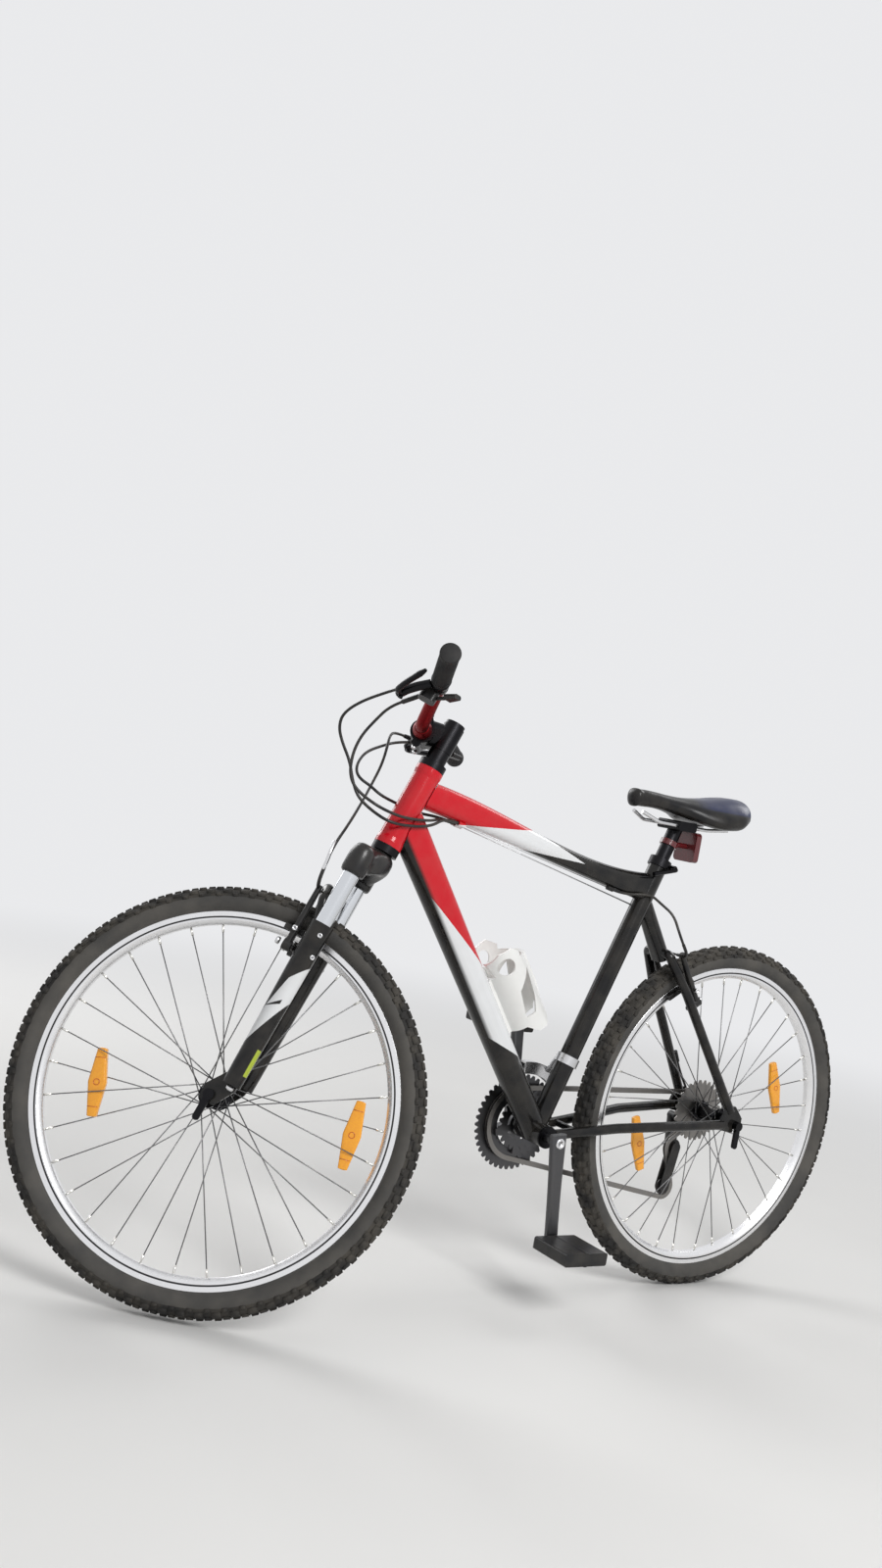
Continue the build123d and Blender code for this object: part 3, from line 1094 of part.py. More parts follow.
finish(crossing_cable(barrel_mouth(LEVER_BARREL, LEVER_FROM_END, 1), REAR_BRAKE_STEER, REAR_BRAKE_FRAME,
                      STOP_PLACES[0]), "rear_brake_cable")
finish(crossing_cable(barrel_mouth(SHIFTER_BARREL, SHIFTER_FROM_END, 1), FRONT_SHIFT_STEER, FRONT_SHIFT_FRAME,
                      STOP_PLACES[1]), "front_derailleur_cable")
finish(crossing_cable(barrel_mouth(SHIFTER_BARREL, SHIFTER_FROM_END, -1), REAR_SHIFT_STEER, REAR_SHIFT_FRAME,
                      STOP_PLACES[2]), "rear_derailleur_cable")
guide_end = [FRONT_BRAKE_AT + BRAKE_OUT + FRONT_GUIDE[2][1], FRONT_GUIDE[2][0], BRAKE_TOP - 6.0 + FRONT_GUIDE[2][2]]
front_points = [steer(*place) for place in FRONT_BRAKE_STEER]
front_points += [steer(guide_end[0] + 4.0, guide_end[1] + 3.0, guide_end[2] + 30.0), steer(*guide_end)]
finish(cable(barrel_mouth(LEVER_BARREL, LEVER_FROM_END, -1) + front_points, turned(0, 0, 1)), "front_brake_cable")

# The housing from the top tube's rear stop to the rear brake's guide
rear_end = stay_brake_point(REAR_BRAKE_AT + BRAKE_OUT + REAR_GUIDE[2][1], REAR_GUIDE[2][0], BRAKE_TOP - 6.0 + REAR_GUIDE[2][2])
rear_before = rear_end + (rear_end - stay_brake_point(
    REAR_BRAKE_AT + BRAKE_OUT + REAR_GUIDE[1][1], REAR_GUIDE[1][0], BRAKE_TOP - 6.0 + REAR_GUIDE[1][2])) * 0.8
LOOP_POINTS = [(62.0, 25.0, -188.0), (34.0, 28.0, -203.0), (12.0, 43.0, -219.0)]
finish(cable([rear_stop, rear_stop + top_run * 30.0] + [Vector(*place) for place in LOOP_POINTS] + [rear_before, rear_end],
             UPWARD), "rear_brake_loop")

# The housing loop behind the axle to the rear derailleur. Forward, left, up from the rear axle
MECH_LOOP = [(-8.0, -76.0, 28.0), (-33.0, -82.0, -6.0), (-38.0, -81.0, -34.0), (-27.0, -79.0, -56.0)]
loop_start, loop_above = stay_stop_ends
finish(cable([loop_start, loop_start * 2 - loop_above] + [rear(*place) for place in MECH_LOOP] + [rear(*MECH_MOUTH)], LEFT), "rear_derailleur_loop")
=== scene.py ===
"""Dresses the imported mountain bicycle: tyres, rims, spokes, paint, saddle, housings and small fittings.

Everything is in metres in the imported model's frame: X forward, Y to the rider's left, Z up, with the
origin at the middle of the saddle's top. New pieces are surfaces worked out with numpy.
"""
import json
import math

import bpy
import numpy as np
from bpy.props import FloatProperty, FloatVectorProperty, IntProperty, PointerProperty
from mathutils import Matrix, Vector


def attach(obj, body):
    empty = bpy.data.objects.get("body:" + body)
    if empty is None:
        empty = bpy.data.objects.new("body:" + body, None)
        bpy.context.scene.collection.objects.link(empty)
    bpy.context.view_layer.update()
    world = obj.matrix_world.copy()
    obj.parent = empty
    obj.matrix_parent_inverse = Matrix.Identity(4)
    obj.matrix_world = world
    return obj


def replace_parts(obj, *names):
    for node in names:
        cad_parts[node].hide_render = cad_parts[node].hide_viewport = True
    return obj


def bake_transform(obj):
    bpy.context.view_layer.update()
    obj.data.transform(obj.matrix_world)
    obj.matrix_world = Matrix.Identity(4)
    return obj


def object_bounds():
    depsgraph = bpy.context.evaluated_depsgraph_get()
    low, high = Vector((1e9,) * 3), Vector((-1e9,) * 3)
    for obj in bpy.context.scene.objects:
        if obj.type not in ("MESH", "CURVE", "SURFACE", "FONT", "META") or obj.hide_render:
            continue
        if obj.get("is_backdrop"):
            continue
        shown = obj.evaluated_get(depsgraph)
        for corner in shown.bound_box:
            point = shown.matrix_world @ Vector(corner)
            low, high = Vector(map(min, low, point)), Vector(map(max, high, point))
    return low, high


bl_info = {
    "name": "Mountain bicycle dressing",
    "version": (1, 0, 0),
    "blender": (4, 5, 0),
    "location": "View3D > Sidebar > Bicycle",
    "description": "Tyres, spokes, paint, saddle, housings and fittings for the packed bicycle",
    "category": "Object",
}

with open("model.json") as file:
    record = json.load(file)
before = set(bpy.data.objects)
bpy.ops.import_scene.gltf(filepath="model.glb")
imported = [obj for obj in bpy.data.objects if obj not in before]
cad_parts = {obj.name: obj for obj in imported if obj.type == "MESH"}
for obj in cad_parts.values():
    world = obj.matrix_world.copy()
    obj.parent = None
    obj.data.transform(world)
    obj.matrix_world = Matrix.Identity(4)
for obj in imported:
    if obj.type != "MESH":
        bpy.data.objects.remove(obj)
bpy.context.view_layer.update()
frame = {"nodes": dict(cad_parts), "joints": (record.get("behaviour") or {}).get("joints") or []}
MM = 0.001

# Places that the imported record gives
JOINTS = {joint["name"]: joint for joint in frame["joints"]}


def joint_place(name):
    """The joint's point and its unit axis."""
    axis = np.array(JOINTS[name]["axis"], float)
    return np.array(JOINTS[name]["pos_m"], float), axis / np.linalg.norm(axis)


HEAD_FOOT, STEER_UP = joint_place("steering")
FRONT_AXLE, FRONT_LEFT = joint_place("front_wheel_spin")
REAR_AXLE, REAR_LEFT = joint_place("rear_wheel_spin")
CRANK_AXIS, _ = joint_place("crank_spin")
STEER_AHEAD = np.cross(FRONT_LEFT, STEER_UP)
AHEAD = np.array([1.0, 0.0, 0.0])
LEFT = np.array([0.0, 1.0, 0.0])
UP = np.array([0.0, 0.0, 1.0])
# the front axle's distance ahead of the steering axis, as in the solids
FORK_RAKE = 41.5 * MM
STEER_FOOT = FRONT_AXLE - STEER_AHEAD * FORK_RAKE
AXLE_TO_HEAD = float((HEAD_FOOT - STEER_FOOT) @ STEER_UP)


def steer(forward, left, up):
    """A point of the steering frame, given in millimetres from the axle's level on the steering axis."""
    return STEER_FOOT + (STEER_AHEAD * forward + FRONT_LEFT * left + STEER_UP * up) * MM


# name: centre, axle to the left, forward direction, body, flanges left and right of the middle
WHEELS = {
    "front": (FRONT_AXLE, FRONT_LEFT, STEER_AHEAD, "front_wheel", 33.0, 33.0),
    "rear": (REAR_AXLE, REAR_LEFT, AHEAD, "rear_wheel", 32.0, 20.0),
}


# Meshes
def mesh_object(name, points, faces, materials=(), index=None):
    """An object at the origin from points in metres and faces, which are an array or a list."""
    mesh = bpy.data.meshes.new(name)
    mesh.from_pydata(points.tolist(), [], faces if isinstance(faces, list) else faces.tolist())
    mesh.update()
    mesh.polygons.foreach_set("use_smooth", np.full(len(mesh.polygons), True))
    for material in materials:
        mesh.materials.append(material)
    if index is not None:
        mesh.polygons.foreach_set("material_index", np.asarray(index, np.int32))
    piece = bpy.data.objects.new(name, mesh)
    bpy.context.scene.collection.objects.link(piece)
    return piece


def grid_faces(rows, columns, wrap_rows=False, wrap_columns=True):
    """Quads of a rows by columns grid of points, joined round where a direction wraps."""
    row = np.arange(rows if wrap_rows else rows - 1)
    column = np.arange(columns if wrap_columns else columns - 1)
    r, c = np.meshgrid(row, column, indexing="ij")
    r1, c1 = (r + 1) % rows, (c + 1) % columns
    corners = [r * columns + c, r1 * columns + c, r1 * columns + c1, r * columns + c1]
    return np.stack(corners, -1).reshape(-1, 4)


def outward(axis, ahead, angle):
    """The direction away from an axle, turned round it from ahead by an angle or by each of several."""
    side = np.cross(axis, ahead)
    return np.multiply.outer(np.cos(angle), ahead) + np.multiply.outer(np.sin(angle), side)


def turned_ring(centre, axis, ahead, profile, count):
    """Carries a closed profile of (radius, distance along the axle) in mm round the axle.

    A point is centre + radius * (cos a * ahead + sin a * side) + distance * axis, for a from 0 to a full
    turn, where side is square to the axle and to ahead.
    """
    angle = np.linspace(0, 2 * math.pi, count, endpoint=False)
    spoke = outward(axis, ahead, angle)
    radius, lateral = np.asarray(profile, float).T * MM
    points = centre + spoke[:, None, :] * radius[None, :, None] + axis * lateral[None, :, None]
    return points.reshape(-1, 3), grid_faces(count, len(radius), wrap_rows=True)


def closed_ends(points, rows, columns):
    """Faces for a grid of points round a body, with a fan over the first row and one over the last.

    They look outward where each row turns counterclockwise about the direction in which the rows advance.
    """
    points = points.reshape(-1, 3)
    ends = np.stack([points[:columns].mean(0), points[-columns:].mean(0)])
    around = np.arange(columns)
    after = (around + 1) % columns
    total, base = rows * columns, (rows - 1) * columns
    faces = grid_faces(rows, columns)[:, ::-1].tolist()
    faces += np.stack([np.full(columns, total), after, around], -1).tolist()
    faces += np.stack([np.full(columns, total + 1), base + around, base + after], -1).tolist()
    return np.vstack([points, ends]), faces


def tube(path, radius, sides=12):
    """Carries a circle along a path of points: each ring is square to the path's mean direction there.

    radius is one number or one for each point. The rings don't twist, because each starts from the last
    ring's side turned into its own plane.
    """
    path = np.asarray(path, float)
    run = np.gradient(path, axis=0)
    run /= np.linalg.norm(run, axis=1, keepdims=True)
    side = np.cross(run[0], UP if abs(run[0] @ UP) < 0.9 else AHEAD)
    sides_at = []
    for direction in run:
        side = side - direction * (side @ direction)
        side /= np.linalg.norm(side)
        sides_at.append(side)
    first = np.array(sides_at)
    second = np.cross(run, first)
    angle = np.linspace(0, 2 * math.pi, sides, endpoint=False)
    cosine, sine = np.cos(angle)[None, :, None], np.sin(angle)[None, :, None]
    ring = cosine * first[:, None, :] + sine * second[:, None, :]
    radius = np.broadcast_to(np.asarray(radius, float), len(path))
    return closed_ends(path[:, None, :] + ring * radius[:, None, None], len(path), sides)


def joined(parts):
    """One list of points and faces from several."""
    points, faces, start = [], [], 0
    for more, sides in parts:
        points.append(more)
        rows = sides if isinstance(sides, list) else sides.tolist()
        faces += [[corner + start for corner in face] for face in rows]
        start += len(more)
    return np.vstack(points), faces


def mesh_from(name, parts, material, body):
    """One piece from several shapes, riding on a body."""
    piece = mesh_object(name, *joined(parts), (material,))
    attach(piece, body)
    return piece


def line(start, end):
    """A straight path between two points."""
    return np.stack([start, end])


def signed_power(value, power):
    """A power of the value's size that keeps its sign."""
    return np.sign(value) * np.abs(value) ** power


# Materials
class Finish:
    """A material under construction: each method adds a node and returns the socket it makes."""

    def __init__(self, name, colour, roughness=0.4, metallic=0.0, coat=0.0, specular=0.5):
        self.material = bpy.data.materials.new(name)
        self.material.use_nodes = True
        self.tree = self.material.node_tree
        self.shader = self.tree.nodes["Principled BSDF"]
        self.shader.inputs["Base Color"].default_value = (*colour, 1)
        self.shader.inputs["Roughness"].default_value = roughness
        self.shader.inputs["Metallic"].default_value = metallic
        self.shader.inputs["Coat Weight"].default_value = coat
        self.shader.inputs["Coat Roughness"].default_value = 0.12
        self.shader.inputs["Specular IOR Level"].default_value = specular
        self.material.diffuse_color = (*colour, 1)
        self.place = self.tree.nodes.new("ShaderNodeTexCoord").outputs["Object"]

    def node(self, kind, inputs=(), **settings):
        """A node with its settings, and its inputs by number or name: a socket is linked, a value is set."""
        node = self.tree.nodes.new(kind)
        for key, value in settings.items():
            setattr(node, key, value)
        for key, value in dict(inputs).items():
            if isinstance(value, bpy.types.NodeSocket):
                self.tree.links.new(value, node.inputs[key])
            else:
                node.inputs[key].default_value = value
        return node

    def math(self, operation, first, second=0.0):
        return self.node("ShaderNodeMath", {0: first, 1: second}, operation=operation).outputs[0]

    def along(self, origin, axis):
        """The distance in metres along an axis from an origin."""
        inputs = {0: self.place, 1: tuple(origin)}
        shifted = self.node("ShaderNodeVectorMath", inputs, operation="SUBTRACT").outputs[0]
        inputs = {0: shifted, 1: tuple(axis)}
        return self.node("ShaderNodeVectorMath", inputs, operation="DOT_PRODUCT").outputs["Value"]

    def step(self, value, edge, soft=0.0006):
        """0 below the edge and 1 above it, with a thin soft line between."""
        node = self.node("ShaderNodeMapRange", {"Value": value, "To Min": 0.0, "To Max": 1.0}, clamp=True)
        for name, offset in (("From Min", -soft), ("From Max", soft)):
            if isinstance(edge, bpy.types.NodeSocket):
                self.tree.links.new(self.math("ADD", edge, offset), node.inputs[name])
            else:
                node.inputs[name].default_value = edge + offset
        return node.outputs[0]

    def noise(self, scale, detail=4.0):
        inputs = {"Vector": self.place, "Scale": scale, "Detail": detail}
        return self.node("ShaderNodeTexNoise", inputs).outputs["Fac"]

    def blend(self, share, low, high):
        """Mixes two colours, each a socket or three numbers."""
        node = self.node("ShaderNodeMix", {0: share}, data_type="RGBA")
        for socket, colour in ((node.inputs[6], low), (node.inputs[7], high)):
            if isinstance(colour, bpy.types.NodeSocket):
                self.tree.links.new(colour, socket)
            else:
                socket.default_value = (*colour, 1)
        return node.outputs[2]

    def colour(self, socket):
        self.tree.links.new(socket, self.shader.inputs["Base Color"])
        return self

    def rough(self, low, high, share):
        out = self.node("ShaderNodeMapRange", {"Value": share, "To Min": low, "To Max": high}).outputs[0]
        self.tree.links.new(out, self.shader.inputs["Roughness"])
        return self

    def bump(self, height, strength=0.3, distance=0.0005):
        inputs = {"Height": height, "Strength": strength, "Distance": distance}
        out = self.node("ShaderNodeBump", inputs).outputs[0]
        self.tree.links.new(out, self.shader.inputs["Normal"])
        return self

    def worn(self, colour, dusty, amount, scale=30.0):
        """Dust in soft patches, over a colour or a socket."""
        share = self.math("MULTIPLY", self.step(self.noise(scale, 6.0), 0.52, 0.14), amount)
        return self.colour(self.blend(share, colour, dusty))


DUST = (0.34, 0.30, 0.24)


def metal(name, colour, roughness, dust=0.08):
    """Metal with a finely uneven gloss and a little dust."""
    finish = Finish(name, colour, roughness, metallic=1.0)
    finish.worn(colour, tuple(0.6 * c + 0.4 * d for c, d in zip(colour, DUST)), dust)
    finish.rough(roughness * 0.8, min(1.0, roughness * 1.3), finish.noise(220.0, 3.0))
    return finish.bump(finish.noise(900.0, 2.0), 0.06, 0.0002).material


def plastic(name, colour, roughness, grain=700.0, depth=0.12, dust=0.12, coat=0.0):
    """Moulded plastic or rubber: a fine grain and a little dust."""
    finish = Finish(name, colour, roughness, coat=coat, specular=0.35)
    finish.worn(colour, DUST, dust)
    finish.rough(roughness * 0.85, min(1.0, roughness * 1.15), finish.noise(160.0))
    return finish.bump(finish.noise(grain, 3.0), depth, 0.0003).material


def clear_coated(name, colour):
    """A clear-coated paint, before its dust and ripple."""
    return Finish(name, colour, 0.2, coat=0.4, specular=0.15)


def used_paint(finish, shade, dust=0.05):
    """A paint's material with faint dust and a very fine ripple, over a colour or a socket."""
    finish.worn(shade, DUST, dust)
    return finish.bump(finish.noise(60.0, 2.0), 0.02, 0.0004).material


def gloss_paint(name, colour):
    return used_paint(clear_coated(name, colour), colour)


# Where the painted tubes run, and their colours
SEAT_LEAN = math.radians(70.4)
SEAT_UP = np.array([-math.cos(SEAT_LEAN), 0.0, math.sin(SEAT_LEAN)])
# where the tubes meet, in mm up the head tube from its foot and up the seat tube from the cranks' axis
TOP_ON_HEAD, DOWN_ON_HEAD = 103.0, 56.0
TOP_ON_SEAT, STAYS_ON_SEAT = 478.2, 462.2
TOP_FRONT = HEAD_FOOT + STEER_UP * TOP_ON_HEAD * MM
TOP_REAR = CRANK_AXIS + SEAT_UP * TOP_ON_SEAT * MM
DOWN_FRONT = HEAD_FOOT + STEER_UP * DOWN_ON_HEAD * MM
RED = (0.60, 0.006, 0.016)
BLACK = (0.004, 0.004, 0.0045)
WHITE = (0.78, 0.79, 0.80)


def unit(run):
    return run / np.linalg.norm(run)


def across(run):
    """The upward direction square to a run in the bicycle's middle plane."""
    direction = unit(run)
    return np.array([-direction[2], 0.0, direction[0]]) * (1 if direction[0] > 0 else -1)


def swoosh_paint(name, origin, run, red_end, white_ends, under):
    """Red, then white, then black along a tube.

    Each end is (distance, slope), so that it moves with the height across; below under, all is black.
    That black strip along the underside is painted shade, standing in for the dark reflection of the ground.
    """
    finish = clear_coated(name, RED)
    distance = finish.along(origin, unit(run))
    height = finish.along(origin, across(run))

    def end(place, slope):
        return finish.math("ADD", finish.math("MULTIPLY", height, slope), place * MM)

    white_end = end(*white_ends[0])
    for other in white_ends[1:]:
        white_end = finish.math("MINIMUM", white_end, end(*other))
    shade = finish.blend(finish.step(distance, end(*red_end)), RED, WHITE)
    shade = finish.blend(finish.step(distance, white_end), shade, BLACK)
    # painted shade: below under, black stands in for the underside's shade and its dark reflection of the
    # ground
    if under is not None:
        depth = finish.math("MULTIPLY", height, -1.0)
        shade = finish.blend(finish.step(depth, -under * MM, 0.003), shade, BLACK)
    return used_paint(finish, shade)


def fork_paint():
    """Black lowers with a white swoosh and a yellow-green line on the outer side of each leg."""
    finish = clear_coated("fork_paint", BLACK)
    ahead = finish.along(STEER_FOOT, STEER_AHEAD)
    level = finish.along(STEER_FOOT, STEER_UP)
    side = finish.math("ABSOLUTE", finish.along(STEER_FOOT, FRONT_LEFT))
    outer = finish.step(side, 0.064)

    def slanted(slope, place):
        return finish.math("ADD", finish.math("MULTIPLY", ahead, slope), place * MM)

    def within(*masks):
        share = outer
        for mask in masks:
            share = finish.math("MULTIPLY", share, mask)
        return share

    def below(value, edge):
        return finish.math("SUBTRACT", 1.0, finish.step(value, edge))

    white = within(below(level, slanted(-1.4, 238.0)), below(level, slanted(-4.5, 300.0)),
                   finish.step(level, slanted(-2.5, 178.0)))
    notch = within(finish.step(level, slanted(-0.6, 176.0)), below(level, slanted(-0.9, 187.0)),
                   finish.step(ahead, 0.012))
    line_share = within(finish.step(ahead, 0.0025, 0.0003), below(ahead, 0.0075),
                        finish.step(level, 0.048), below(level, 0.093))
    unnotched = finish.math("SUBTRACT", 1.0, notch)
    shade = finish.blend(finish.math("MULTIPLY", white, unnotched), BLACK, WHITE)
    shade = finish.blend(line_share, shade, (0.45, 0.55, 0.05))
    return used_paint(finish, shade, 0.06)


# Settings
class TyreSettings(bpy.types.PropertyGroup):
    """Sizes of the tyres' tread, and the tyres' colours."""
    rows: IntProperty(name="Blocks round", description="Tread blocks in each row round the tyre",
                      default=74, min=12)
    block_height: FloatProperty(name="Block height", description="Height of the tread blocks", default=0.0028,
                                unit="LENGTH", subtype="DISTANCE", precision=4)
    tread_colour: FloatVectorProperty(name="Tread", description="Colour of the tread rubber", size=3,
                                      default=(0.022, 0.021, 0.020), subtype="COLOR", min=0.0, max=1.0)
    wall_colour: FloatVectorProperty(name="Sidewall", description="Colour of the dusty sidewall", size=3,
                                     default=(0.050, 0.048, 0.045), subtype="COLOR", min=0.0, max=1.0)


class WheelSettings(bpy.types.PropertyGroup):
    """The spokes' size and number."""
    spoke_radius: FloatProperty(name="Spoke radius", description="Radius of a spoke", default=0.001,
                                unit="LENGTH", subtype="DISTANCE", precision=4)
    spokes: IntProperty(name="Spokes", description="Spokes in each wheel", default=32, min=12)


class StageSettings(bpy.types.PropertyGroup):
    """Light and floor."""
    floor_colour: FloatVectorProperty(name="Floor", description="Colour of the floor", size=3,
                                      default=(0.82, 0.815, 0.80), subtype="COLOR", min=0.0, max=1.0)
    key_power: FloatProperty(name="Key light", description="Power of the large soft lamp", default=85.0,
                             unit="POWER", min=0.0)
    fill: FloatProperty(name="Sky", description="Strength of the even light from all round",
                        default=0.36, min=0.0)


# Wheels
TYRE_CENTRE = 307.6
CASING_WIDE = 22.2
CASING_HIGH = 20.6
# place round the tyre's section in degrees, shift along the row, length round, width across
TREAD_ROWS = [(0.0, 0.0, 11.0, 8.0), (25.0, 0.5, 12.0, 7.0), (-25.0, 0.5, 12.0, 7.0), (50.0, 0.0, 14.0, 8.5),
              (-50.0, 0.0, 14.0, 8.5), (70.0, 0.5, 9.0, 6.0), (-70.0, 0.5, 9.0, 6.0)]
TYRE_STEPS = 240
BEAD_ANGLE = 154.0
WALL_ANGLE = 80.0


def tyre_shape(centre, axis, ahead, settings):
    """A casing of elliptic section and rows of tread blocks on it.

    Casing: radius = middle + height * cos t, distance = width * sin t, for t from one bead over the crown
    to the other. Block: a frustum that stands along the ellipse's own normal at its row's t.
    """
    t = np.radians(np.linspace(-BEAD_ANGLE, BEAD_ANGLE, 45))
    profile = np.stack([TYRE_CENTRE + CASING_HIGH * np.cos(t), CASING_WIDE * np.sin(t)], -1)
    casing, faces = turned_ring(centre, axis, ahead, profile, TYRE_STEPS)
    angle = np.degrees(np.abs(t))
    middle = (angle + np.roll(angle, -1)) / 2
    wall = np.tile(middle > WALL_ANGLE, TYRE_STEPS).astype(int)
    blocks, count = [], settings.rows
    for place, shift, length, width in TREAD_ROWS:
        t = math.radians(place)
        normal = np.array([CASING_WIDE * math.cos(t), CASING_HIGH * math.sin(t)])
        normal /= np.linalg.norm(normal)
        along_section = np.array([-normal[1], normal[0]])
        foot = np.array([TYRE_CENTRE + CASING_HIGH * math.cos(t), CASING_WIDE * math.sin(t)])
        turn = (np.arange(count) + shift) * 2 * math.pi / count
        corners = []
        for level, share in ((-0.8, 1.0), (settings.block_height / MM, 0.78)):
            for round_side, section_side in ((-1, -1), (1, -1), (1, 1), (-1, 1)):
                place_2d = foot + normal * level + along_section * section_side * width * share / 2
                spin = turn + round_side * length * share / 2 / TYRE_CENTRE
                spoke = outward(axis, ahead, spin)
                corners.append(centre + spoke * place_2d[0] * MM + axis * place_2d[1] * MM)
        blocks.append(np.stack(corners, 1).reshape(-1, 3))
    block_faces = np.array([[0, 1, 2, 3], [4, 7, 6, 5], [0, 4, 5, 1], [1, 5, 6, 2], [2, 6, 7, 3],
                            [3, 7, 4, 0]])
    points = np.vstack([casing, *blocks])
    total = count * len(TREAD_ROWS)
    starts = len(casing) + 8 * np.arange(total)
    more = (starts[:, None, None] + block_faces[None, :, ::-1]).reshape(-1, 4)
    return points, np.vstack([faces, more]), np.concatenate([wall, np.zeros(len(more), int)])


class BICYCLE_OT_tyres(bpy.types.Operator):
    """Adds the tyres: casings with dusty sidewalls and blocks of tread"""
    bl_idname = "bicycle.tyres"
    bl_label = "Tyres"

    def execute(self, context):
        settings = context.scene.bicycle_tyres
        tread = plastic("tread_rubber", settings.tread_colour, 0.8, 500.0, 0.3, 0.14)
        finish = Finish("sidewall_rubber", settings.wall_colour, 0.75)
        finish.worn(settings.wall_colour, (0.125, 0.115, 0.10), 0.55, 14.0)
        wall = finish.bump(finish.noise(400.0, 3.0), 0.15, 0.0003).material
        for name, (centre, axis, ahead, body, _, _) in WHEELS.items():
            points, faces, index = tyre_shape(centre, axis, ahead, settings)
            piece = mesh_object(f"{name}_tyre_tread", points, faces, (tread, wall), index)
            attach(piece, body)
            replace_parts(piece, f"{name}_tyre")
        return {"FINISHED"}


# radius, distance from the middle, of one half of the rim from the tyre's bead seat to the inner edge
RIM_HALF = [(284.0, 9.4), (289.6, 10.4), (290.0, 11.0), (289.8, 11.7), (289.2, 12.0), (281.6, 12.0),
            (281.2, 11.5), (279.2, 11.5), (278.8, 12.0), (276.4, 11.9), (275.6, 11.4), (270.2, 6.2),
            (268.9, 4.6)]
# sides of that half that are the dark groove
GROOVE = (5, 6, 7)
RIM_STEPS = 200
RIM_INNER = 268.2
HUB_HOLES = 18.0
SPOKE_LEAD = math.radians(78.0)
SPOKE_OFFSET = 3.8
NIPPLE = 12.0
NIPPLE_RADIUS = 1.9


def spoke_lines(centre, axis, ahead, flange_left, flange_right, count):
    """Both ends of every spoke: from the flange's holes, turned by the lead, to near the rim's middle."""
    number = np.arange(count)
    left = np.where(number % 2 == 0, 1.0, -1.0)
    lead = np.where((number // 2) % 2 == 0, 1.0, -1.0)
    lateral = (np.where(left > 0, flange_left, -flange_right) + lead * SPOKE_OFFSET) * MM
    rim_angle = 2 * math.pi * (number + 0.5) / count
    hub_angle = rim_angle + lead * SPOKE_LEAD

    def at(radius, angle, out):
        return centre + outward(axis, ahead, angle) * radius * MM + axis * out[:, None]

    return at(HUB_HOLES, hub_angle, lateral), at(RIM_INNER, rim_angle, left * 2.5 * MM)


class BICYCLE_OT_wheels(bpy.types.Operator):
    """Adds the rims with their grooves, the spokes and the nipples"""
    bl_idname = "bicycle.wheels"
    bl_label = "Rims and spokes"

    def execute(self, context):
        settings = context.scene.bicycle_wheels
        rim = metal("rim_alloy", (0.88, 0.88, 0.89), 0.24, 0.1)
        groove = metal("rim_groove", (0.05, 0.05, 0.052), 0.5, 0.1)
        spoke = metal("spoke_steel", (0.20, 0.20, 0.205), 0.35, 0.2)
        nipple = metal("nipple_brass", (0.75, 0.74, 0.70), 0.3)
        for name, (centre, axis, ahead, body, flange_left, flange_right) in WHEELS.items():
            profile = RIM_HALF + [(radius, -out) for radius, out in reversed(RIM_HALF)]
            points, faces = turned_ring(centre, axis, ahead, profile, RIM_STEPS)
            last = len(profile) - 2
            dark = np.isin(np.arange(len(profile)), [*GROOVE, *(last - side for side in GROOVE)])
            index = np.tile(dark, RIM_STEPS)
            piece = mesh_object(f"{name}_rim_section", points, faces, (rim, groove), index)
            piece.data.set_sharp_from_angle(angle=math.radians(24.0))
            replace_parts(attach(piece, body), f"{name}_rim")
            hub_end, rim_end = spoke_lines(centre, axis, ahead, flange_left, flange_right, settings.spokes)
            parts = [tube(line(a, b), settings.spoke_radius, 6) for a, b in zip(hub_end, rim_end)]
            piece = mesh_from(f"{name}_round_spokes", parts, spoke, body)
            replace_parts(piece, f"{name}_spokes")
            inward = [(a - b) / np.linalg.norm(a - b) for a, b in zip(hub_end, rim_end)]
            parts = [tube(line(b - d * 0.5 * MM, b + d * NIPPLE * MM), NIPPLE_RADIUS * MM, 8)
                     for b, d in zip(rim_end, inward)]
            mesh_from(f"{name}_nipples", parts, nipple, body)
        return {"FINISHED"}


# wheel: rows of angle, distance from the axle and half thickness, as in the solids
REFLECTORS = {"front": [(22.0, 187.0, 8.0), (193.0, 222.0, 4.6)],
              "rear": [(199.0, 180.0, 4.95), (19.0, 180.0, 4.95)]}
REFLECTOR_HALF = 53.5
REFLECTOR_WIDE = 14.6
REFLECTOR_GRID = (33, 32)
# radius of the ring on a face, place and half length of its bars
MARK_RING, MARK_BAR_AT, MARK_BAR_HALF = 4.6, 38.0, 8.0


def reflector_shape(centre, axis, ahead, angle, radius, half):
    """A long lens: its width goes from full at the middle to half at the ends, and its edge is rounded.

    Along = half length * sin(u), across = width * (1 - 0.5 |sin u|) * cos(v) ** 0.4, out = thickness *
    sin(v) ** 0.5, with every power keeping its sign.
    """
    u = np.linspace(1.55, -1.55, REFLECTOR_GRID[0])[:, None]
    v = np.linspace(0, 2 * math.pi, REFLECTOR_GRID[1], endpoint=False)[None, :]
    close = np.minimum(1.0, np.cos(u) * 5.0)
    along = REFLECTOR_HALF * np.sin(u) * np.ones_like(v)
    wide = REFLECTOR_WIDE * (1 - 0.5 * np.abs(np.sin(u))) * signed_power(np.cos(v), 0.4) * close
    out = half * signed_power(np.sin(v), 0.5) * close ** 0.5
    spoke = outward(axis, ahead, math.radians(angle))
    tangent = np.cross(axis, spoke)
    out_at = spoke * (radius + wide)[..., None]
    points = centre + (out_at + tangent * along[..., None] + axis * out[..., None]) * MM
    return closed_ends(points, *REFLECTOR_GRID)


